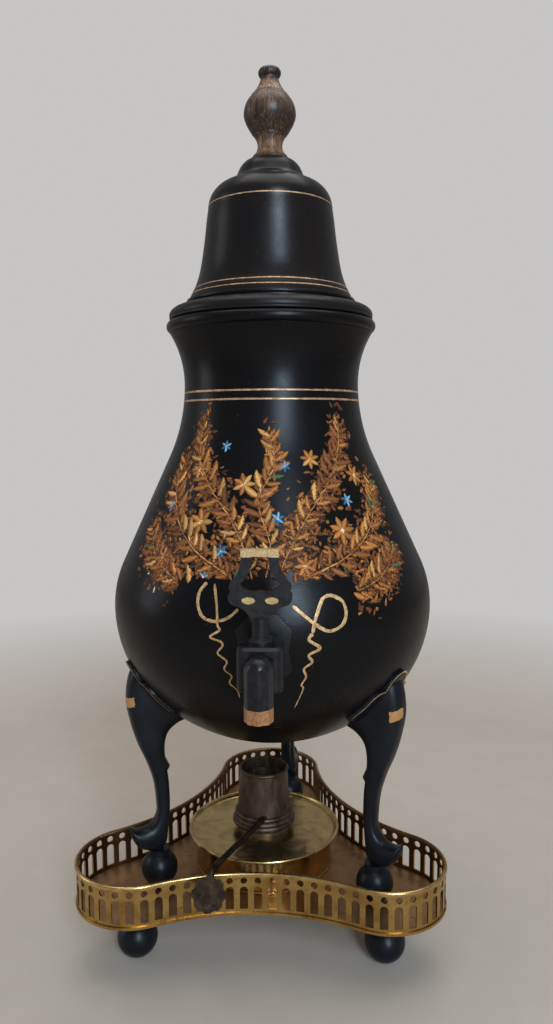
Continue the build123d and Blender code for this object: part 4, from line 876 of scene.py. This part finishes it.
# Round the section, a power below one fills out cosine and sine towards a square.
wide = smooth_path(np.array(widths)[:, None] * (1, 0), steps)[:, 0]
t = np.linspace(0, 2 * pi, 44, endpoint=False)
squareness = 2 / 2.7
depth_share = np.sign(np.cos(t)) * np.abs(np.cos(t)) ** squareness
width_share = np.sign(np.sin(t)) * np.abs(np.sin(t)) ** squareness
middle, half_depth = (inner_edge + outer_edge) / 2, (outer_edge - inner_edge) / 2
side_view = middle[:, None] + half_depth[:, None] * depth_share[None, :, None]
sideways = wide[:, None] / 2 * width_share[None]
ends = [side_view[:1] * 0 + end for end in (middle[0], middle[-1])]
side_view = np.concatenate([ends[0], side_view, ends[1]])
sideways = np.pad(sideways, ((1, 1), (0, 0)))


def cast_leg(azimuth):
    """The leg's points: its plane turned to an azimuth, and kept outside the belly."""
    turn = radians(azimuth)
    x = side_view[..., 0] * cos(turn) - sideways * sin(turn)
    y = side_view[..., 0] * sin(turn) + sideways * cos(turn)
    z = side_view[..., 1]
    radius = np.hypot(x, y)
    belly = np.interp(z, urn_paint.height, urn_paint.radius, left=0.0) + 0.15
    push = np.maximum(radius, belly) / np.maximum(radius, 1e-6)
    return np.stack([urn_centre[0] + x * push, urn_centre[1] + y * push, z], -1)


print("a leg has", steps, "rings of", len(t), "points")

# %% [markdown]
# The knee spreads over the belly in a thin plate with three scallops along its top. A plate's
# point at w across and h up lies on the belly's side at that height, turned from the leg's own
# direction by the arcsine of w over the radius. Rings of points shrink from the outline to the
# middle, on the face and again on the back. A gold edge follows the scallops, just inside them,
# as a ribbon on the face of the plate.

# %% Knee plates and their gold edges
legs = {"leg_back": (84.5, 2.0), "leg_front_left": (204.5, 2.0), "leg_front_right": (324.5, -3.5)}
wing_top, wing_half, wing_metal = 16.8, 20.5, 1.6
crest = [(0, wing_top), (0.3 * wing_half, wing_top - 2.5), (0.4 * wing_half, wing_top - 8.8)]
shoulder = [crest[2], (0.71 * wing_half, wing_top - 9.8), (wing_half - 3.3, wing_top - 15.3)]
tail = [shoulder[2], (wing_half - 1.4, -1.9), (wing_half - 0.3, -4.9)]
half_edge = np.vstack([
    hollow(*crest, steps=18), hollow(*shoulder, steps=14)[1:], hollow(*tail, steps=6)[1:],
])
skirt = hollow(tail[2], (0.5 * wing_half, -8.5), (0, -14.0))[1:]
right_half = np.vstack([half_edge, skirt])
across, up = np.vstack([right_half, (right_half * (-1, 1))[::-1][1:-1]]).T[:, None]
shrink = np.array([0.0, 0.3, 0.6, 0.85, 0.965, 1.0, 1.0, 0.7, 0.35, 0.0])[:, None]
lifts = np.array([wing_metal] * 4 + [1.55, 1.2] + [0.12] * 4)[:, None]
edge = np.vstack([(half_edge * (-1, 1))[::-1], half_edge[1:]]) * (0.965, 1.0) - (0, 0.6)
place = np.arange(len(edge))
edge_ends = np.minimum(1, np.minimum(place, place[::-1]) / 3) ** 0.5
edge_half = 0.42 * edge_ends * (1 + 0.12 * np.sin(place * 0.7))
plate_paint = Skin(urn_outline(wing_metal))
patch_r, patch_z = 79.5, 132.5
for name, (azimuth, patch_turn) in legs.items():
    tube, towards = cast_leg(azimuth), radians(azimuth + 90)
    run = urn_paint.run_at(hip[1] + shrink * up)
    turn = np.arcsin(shrink * across / (urn_paint.radius_at(run) + lifts)) + towards
    plate = urn_paint.point(turn, run, lifts)
    tube_faces = grid_faces(*tube.shape[:2], wrap_columns=True)
    plate_faces = grid_faces(*plate.shape[:2], wrap_columns=True) + tube.shape[0] * tube.shape[1]
    turn = radians(azimuth + patch_turn)
    knee = (urn_centre[0] + patch_r * cos(turn), urn_centre[1] + patch_r * sin(turn), patch_z)
    piece(
        name + "_cast", np.vstack([tube.reshape(-1, 3), plate.reshape(-1, 3)]),
        np.vstack([tube_faces, plate_faces]), "urn", "black_lacquer",
        leg_finish(name + "_lacquer", knee), name, soft_angle=50.0,
    )
    run = plate_paint.run_at(hip[1] + edge[:, 1])[None]
    turn = np.arcsin(edge[:, 0] / plate_paint.radius_at(run)) + towards
    grid, faces = ribbons(plate_paint, turn, run, edge_half[None], crest=0.08, lift=0.02)
    piece(name + "_edge", grid, faces, "urn", "gallery_brass", gold)

# %% [markdown]
# ## The tap
# The body is lacquered like the legs, but hands have dulled it. A gold band is painted round the
# foot of the spout, and the key has a gold bar and two gold eyes. Each is a mask read from the
# piece's own coordinates: below a height for the band, above one for the bar, and inside two
# ellipses for the eyes.

# %% Tap finishes
tap = Finish("tap_lacquer", (0.007, 0.007, 0.008), Specular_IOR_Level=0.24)
smear = tap.noise(4.0, 5.0, warp=0.8)
fine = tap.noise(0.8, 4.0)
band = tap.split()[2] + (smear - 0.5) * 0.0012 < (bottom("tap_body") + 5.6) * mm
slate = tap.ramp(smear, (0.34, (0.0045, 0.0048, 0.0055)), (0.66, (0.012, 0.0115, 0.0125)))
aged = tap.ramp(fine, (0.3, (0.26, 0.105, 0.042)), (0.7, (0.52, 0.25, 0.11)))
tap.surface(tap.mix(band, slate, aged), (smear, 0.18, 0.40), fine + smear, 0.03, band * 0.5)
tap.dress("tap_body")
plate = lacquer("plate_lacquer", (0.006, 0.0055, 0.0055), (0.005, 0.0052, 0.006), 0.34, 0.24)
plate.dress("tap_plate")

key = Finish("key_lacquer", (0.006, 0.006, 0.006), Specular_IOR_Level=0.26)
smear = key.noise(3.0, 5.0, warp=0.8)
fine = key.noise(0.9, 4.0)
x, y, z = key.split()
key_top = top("tap_key") * mm
bar = z + fine * 0.0006 > key_top - 2.9 * mm
off = key.math("ABSOLUTE", x - urn_centre[0] * mm) - 4.7 * mm
up = z - (key_top - 20.8 * mm)
eyes = (off / (2.8 * mm)) ** 2 + (up / (1.5 * mm)) ** 2 + fine * 0.5 < 1.2
painted = key.math("MAXIMUM", bar, eyes)
slate = key.ramp(smear, (0.34, (0.0045, 0.0045, 0.005)), (0.68, (0.012, 0.0095, 0.0085)))
pale = key.ramp(fine, (0.3, (0.36, 0.22, 0.09)), (0.7, (0.60, 0.43, 0.22)))
key.surface(key.mix(painted, slate, pale), (smear, 0.32, 0.55), fine, 0.03, painted * 0.4)
key.dress("tap_key")
print("tap finished")

# %% [markdown]
# ## Brass
# The gallery is polished outside and brown inside, where no cloth reaches. The finish knows the
# two sides apart because the tray's outline is star-shaped: on the outside, the surface faces
# the same way as the place lies from the middle. The dot product of the two is positive there.

# %% Gallery finish
tray_centre = (*(v * mm for v in axis("burner_drum")), 0.0)


def brass(name, bright, deep, brown, low_rough, high_rough, two_sided=False, spread=0.5):
    """Brass with cloudy colour, brown spots and, if two sided, a brown inside."""
    made = Finish(name, bright, Metallic=1.0)
    clouds = made.noise(14.0, 5.0, warp=1.0)
    fine = made.noise(1.5, 5.0)
    spots = made.ramp(made.noise(4.2, 6.0, warp=0.6), (spread + 0.06, 0.0), (spread + 0.20, 1.0))
    metal = made.mix(made.ramp(clouds, (0.35, 0.0), (0.68, 1.0)), bright, deep)
    dirt = spots * 0.75
    if two_sided:
        away = made.vector("SUBTRACT", made.place, tray_centre)
        level = made.vector("MULTIPLY", away, (1, 1, 0))
        inner = made.vector("DOT_PRODUCT", level, made.facing) < -0.002
        dirt = made.math("MAXIMUM", dirt, inner * 0.88)
    rough = fine * (high_rough - low_rough) + low_rough + dirt * 0.16
    made.surface(made.mix(dirt, metal, brown), rough, fine + clouds, 0.025)
    return made


brass(
    "gallery_brass", (0.50, 0.315, 0.105), (0.33, 0.185, 0.055), (0.085, 0.045, 0.022),
    0.20, 0.38, True, 0.54,
).dress("tray_gallery", "gallery_base_wire")
brass(
    "rim_brass", (0.62, 0.42, 0.17), (0.38, 0.23, 0.085), (0.14, 0.080, 0.038), 0.20, 0.36,
    True, 0.52,
).dress("gallery_rim")
brass(
    "floor_brass", (0.46, 0.27, 0.135), (0.34, 0.19, 0.092), (0.20, 0.115, 0.060), 0.34, 0.56,
    False, 0.52,
).dress("tray_floor")
print("tray finished around", [round(v, 4) for v in tray_centre])

# %% [markdown]
# ## The burner's dish
# Pale brass, wiped in circles, with a dark patch in front that is a painted reflection of the urn's
# black underside. The circles come from noise that is read at the distance from the axis, and the
# patch is the noise of the blotches added to the distance from its middle. The drum below it is darker
# brass.

# %% Dish finish
dish = Finish("dish_brass", (0.55, 0.42, 0.19), Metallic=1.0)
away = dish.vector("SUBTRACT", dish.place, tray_centre)
x, y, z = dish.split(away)
circles = dish.node("ShaderNodeCombineXYZ", [(x**2 + y**2) ** 0.5 * 2600.0, 0.0, 0.0])
rings = dish.node("ShaderNodeTexNoise", {"Vector": circles, "Scale": 1.0}, "Fac")
blotch = dish.noise(9.0, 6.0, warp=0.8)
# The dark patch is a painted reflection of the urn's black underside. Its middle lies 3 mm to the
# right of the axis and 25 mm in front of it.
x, y, z = dish.split(dish.vector("SUBTRACT", away, (0.003, -0.025, 0.0)))
reflection_reach = ((x * 0.62) ** 2 + y**2) ** 0.5 + (blotch - 0.5) * 0.022
painted_reflection = dish.ramp(reflection_reach * 50.0, (0.34, 0.9), (0.66, 0.0))
metal = dish.ramp(
    blotch, (0.30, (0.34, 0.22, 0.085)), (0.52, (0.54, 0.385, 0.155)), (0.75, (0.70, 0.53, 0.24)),
)
rough = rings * 0.16 + blotch * 0.20 + 0.08 + painted_reflection * 0.22
# The painted reflection lays a near-black brown over the metal, and the surface is rougher there.
dish.surface(dish.mix(painted_reflection, metal, (0.085, 0.066, 0.038)), rough, rings + blotch, 0.02)
dish.dress("burner_dish")
brass(
    "drum_brass", (0.46, 0.285, 0.11), (0.34, 0.20, 0.080), (0.10, 0.055, 0.028), 0.14, 0.28,
    False, 0.52,
).dress("burner_drum", "burner_base")
print("dish and drum finished")

# %% [markdown]
# ## Dark bronze and hidden metal
# The regulating sleeve, its lever and the grip have been hot many times. Brown oxide streaks run
# down the sleeve, so its noise is stretched upright. The nuts, washers and screws are plain
# brass, and the seal inside the urn is dull black rubber.


# %% Bronze, small brass and rubber
def bronze(name, dark, mid, light, upright):
    """Oxidised bronze: three tones over streaks, duller where streaks and pits add up."""
    made = Finish(name, mid, Metallic=0.85, Specular_IOR_Level=0.4)
    streak = made.noise(3.8, 5.0, stretch=(1, 1, upright), warp=0.8)
    pits = made.noise(0.9, 5.0)
    tones = made.ramp(streak, (0.30, dark), (0.50, mid), (0.72, light))
    made.surface(tones, ((streak + pits) * 0.5, 0.36, 0.62), pits + streak, 0.05)
    return made


bronze(
    "sleeve_bronze", (0.042, 0.026, 0.016), (0.078, 0.051, 0.034), (0.125, 0.084, 0.057), 3,
).dress("regulator_sleeve")
bronze(
    "lever_bronze", (0.018, 0.0095, 0.0060), (0.036, 0.0205, 0.0125), (0.064, 0.038, 0.024), 1,
).dress("lever_rod", "lever_disc")
bronze(
    "tube_bronze", (0.040, 0.030, 0.022), (0.10, 0.075, 0.050), (0.20, 0.14, 0.09), 4,
).dress("wick_tube", "wick_holder")
brass(
    "small_brass", (0.62, 0.42, 0.16), (0.48, 0.30, 0.11), (0.16, 0.10, 0.05), 0.22, 0.42,
    False, 0.55,
).dress("tap_nut", "plug_nut", "plug_washer", "finial_washer", "finial_screw", "tray_foot_screws")
rubber = Finish("seal_rubber", (0.020, 0.017, 0.015), Specular_IOR_Level=0.35)
rough = (rubber.noise(1.4, 4.0), 0.62, 0.82)
rubber.surface(rough=rough, relief=rubber.noise(0.6, 3.0), depth=0.03)
rubber.dress("tap_seal")
print("bronze, small brass and rubber finished")

# %% [markdown]
# ## The wick
# Braided cotton, charred at its top. Twelve strands lean one way and twelve the other around a
# core, as in a round braid: a strand is a thin tube whose middle circles the axis while it
# climbs, and its distance from the axis rises and falls as it passes over and under.

# %% Wick
wick_axis = axis("wick")
wick_r, wick_low, wick_high = girth("wick"), bottom("wick"), top("wick")
strands, turns, rings_up = 24, 1.15, 90
climb = np.linspace(0, 1, rings_up)[None, :, None]
strand = np.arange(strands)[:, None, None]
lean = np.where(strand < strands // 2, 1.0, -1.0)
swing = 2 * pi * (strand % 12) / 12 + lean * climb * 2 * pi * turns
weave = 0.22 * np.sin(12 * turns * 2 * pi * climb + pi * strand)
ring = np.linspace(0, 2 * pi, 8, endpoint=False)[None, None, :]
thick = 0.62 * (1 - np.clip(np.abs(2 * climb - 1) * 8 - 7, 0, 1) ** 2 * 0.95)
reach = wick_r - 0.95 + weave + thick * np.cos(ring)
x = wick_axis[0] + reach * np.cos(swing)
y = wick_axis[1] + reach * np.sin(swing)
z = wick_low + 0.7 + climb * (wick_high - wick_low - 1.4) + thick * np.sin(ring) + 0 * x
cotton = Finish("wick_cotton", (0.62, 0.56, 0.46), Specular_IOR_Level=0.2)
fibre = cotton.noise(0.35, 4.0)
charred = cotton.split()[2] + fibre * 0.003 - (wick_high - 8) * mm
burnt = cotton.ramp(charred * 125.0, (0.25, 0.0), (0.8, 1.0))
fresh = cotton.ramp(fibre, (0.3, (0.40, 0.33, 0.24)), (0.7, (0.66, 0.60, 0.50)))
cotton.surface(cotton.mix(burnt, fresh, (0.022, 0.018, 0.015)), (fibre, 0.85, 1.0), fibre, 0.08)
core = np.array([
    (0, wick_low + 0.05), (wick_r - 1.2, wick_low + 0.05), (wick_r - 0.9, wick_low + 0.5),
    (wick_r - 0.9, wick_high - 1.6), (wick_r - 1.8, wick_high - 0.8), (0, wick_high - 0.3),
])
faces = grid_faces(rings_up, 8, wrap_columns=True, copies=strands)
piece("wick_braid", np.stack([x, y, z], -1), faces, "wick_lift", "wick_cotton", cotton, "wick")
turned("wick_core", core, "wick_lift", "wick_cotton", cotton, centre=wick_axis, around=48)

# %% [markdown]
# ## Floor and light
# A pale tabletop and an even grey background, as in a plain studio. The world gives soft light
# from everywhere, a tall soft lamp behind the camera gives the upright gleam on lid and neck,
# and a wide one above and a weak one at the left open up the shadows. For the camera alone, the
# floor fades into the background's tone, and the background is paler than the light that comes
# from it, so the dark lacquer mirrors a dimmer room.

# %% Stage
wall_tone = (0.57, 0.56, 0.555)
ground = Finish("pale_floor", (0.46, 0.40, 0.34), Specular_IOR_Level=0.2)
mottle = ground.noise(26.0, 5.0)
pale = ground.ramp(mottle, (0.35, (0.420, 0.363, 0.302)), (0.70, (0.440, 0.380, 0.318)))
ground.surface(pale, 0.75)
far = ground.ramp(ground.vector("LENGTH", ground.place) / 2.0, (0.18, 0.0), (0.40, 1.0))
seen_by_camera = ground.node("ShaderNodeLightPath", (), "Is Camera Ray")
glow = ground.node("ShaderNodeEmission", [(*wall_tone, 1.0), 1.0])
plain = Pattern(ground, ground.shader.outputs[0])
both = ground.node("ShaderNodeMixShader", [far * seen_by_camera, plain, glow])
ground.feed(ground.tree.nodes["Material Output"].inputs["Surface"], both)
ring = np.linspace(0, 2 * pi, 96, endpoint=False)
disc = np.stack([4000 * np.cos(ring), 4000 * np.sin(ring), np.full(96, -0.05)], 1)
floor_mesh = bpy.data.meshes.new("floor")
floor_mesh.from_pydata(disc * mm, [], [list(range(96))])
floor_mesh.materials.append(ground.material)
floor = add("floor", floor_mesh)


def lamp(name, place, size, power, colour):
    """A soft rectangular lamp, in metres, aimed at the middle of the urn."""
    data = bpy.data.lights.new(name, "AREA")
    data.shape = "RECTANGLE"
    data.size, data.size_y = size
    data.energy = power
    data.color = colour
    stand(name, data, place, Vector((0.0, 0.0, 0.2)) - Vector(place))


lamp("window", (0.50, -1.56, 0.80), (0.42, 1.2), 34.0, (0.66, 0.83, 1.0))
lamp("ceiling", (0.1, 0.1, 1.9), (1.7, 1.7), 20.0, (1.0, 0.985, 0.96))
lamp("fill", (-1.6, 0.0, 0.6), (0.5, 1.0), 3.5, (0.93, 0.96, 1.0))

world = bpy.data.worlds.new("room")
bpy.context.scene.world = world
world.use_nodes = True
tree = world.node_tree
tree.nodes.clear()
ray = tree.nodes.new("ShaderNodeLightPath")
either = tree.nodes.new("ShaderNodeMixShader")
out = tree.nodes.new("ShaderNodeOutputWorld")
tree.links.new(ray.outputs["Is Camera Ray"], either.inputs[0])
for socket, tone in ((1, (0.28, 0.28, 0.285)), (2, wall_tone)):
    light = tree.nodes.new("ShaderNodeBackground")
    light.inputs["Color"].default_value = (*tone, 1.0)
    tree.links.new(light.outputs[0], either.inputs[socket])
tree.links.new(either.outputs[0], out.inputs["Surface"])
bpy.context.scene.view_settings.view_transform = "Standard"
print("floor, room and", len(bpy.data.lights), "lamps")
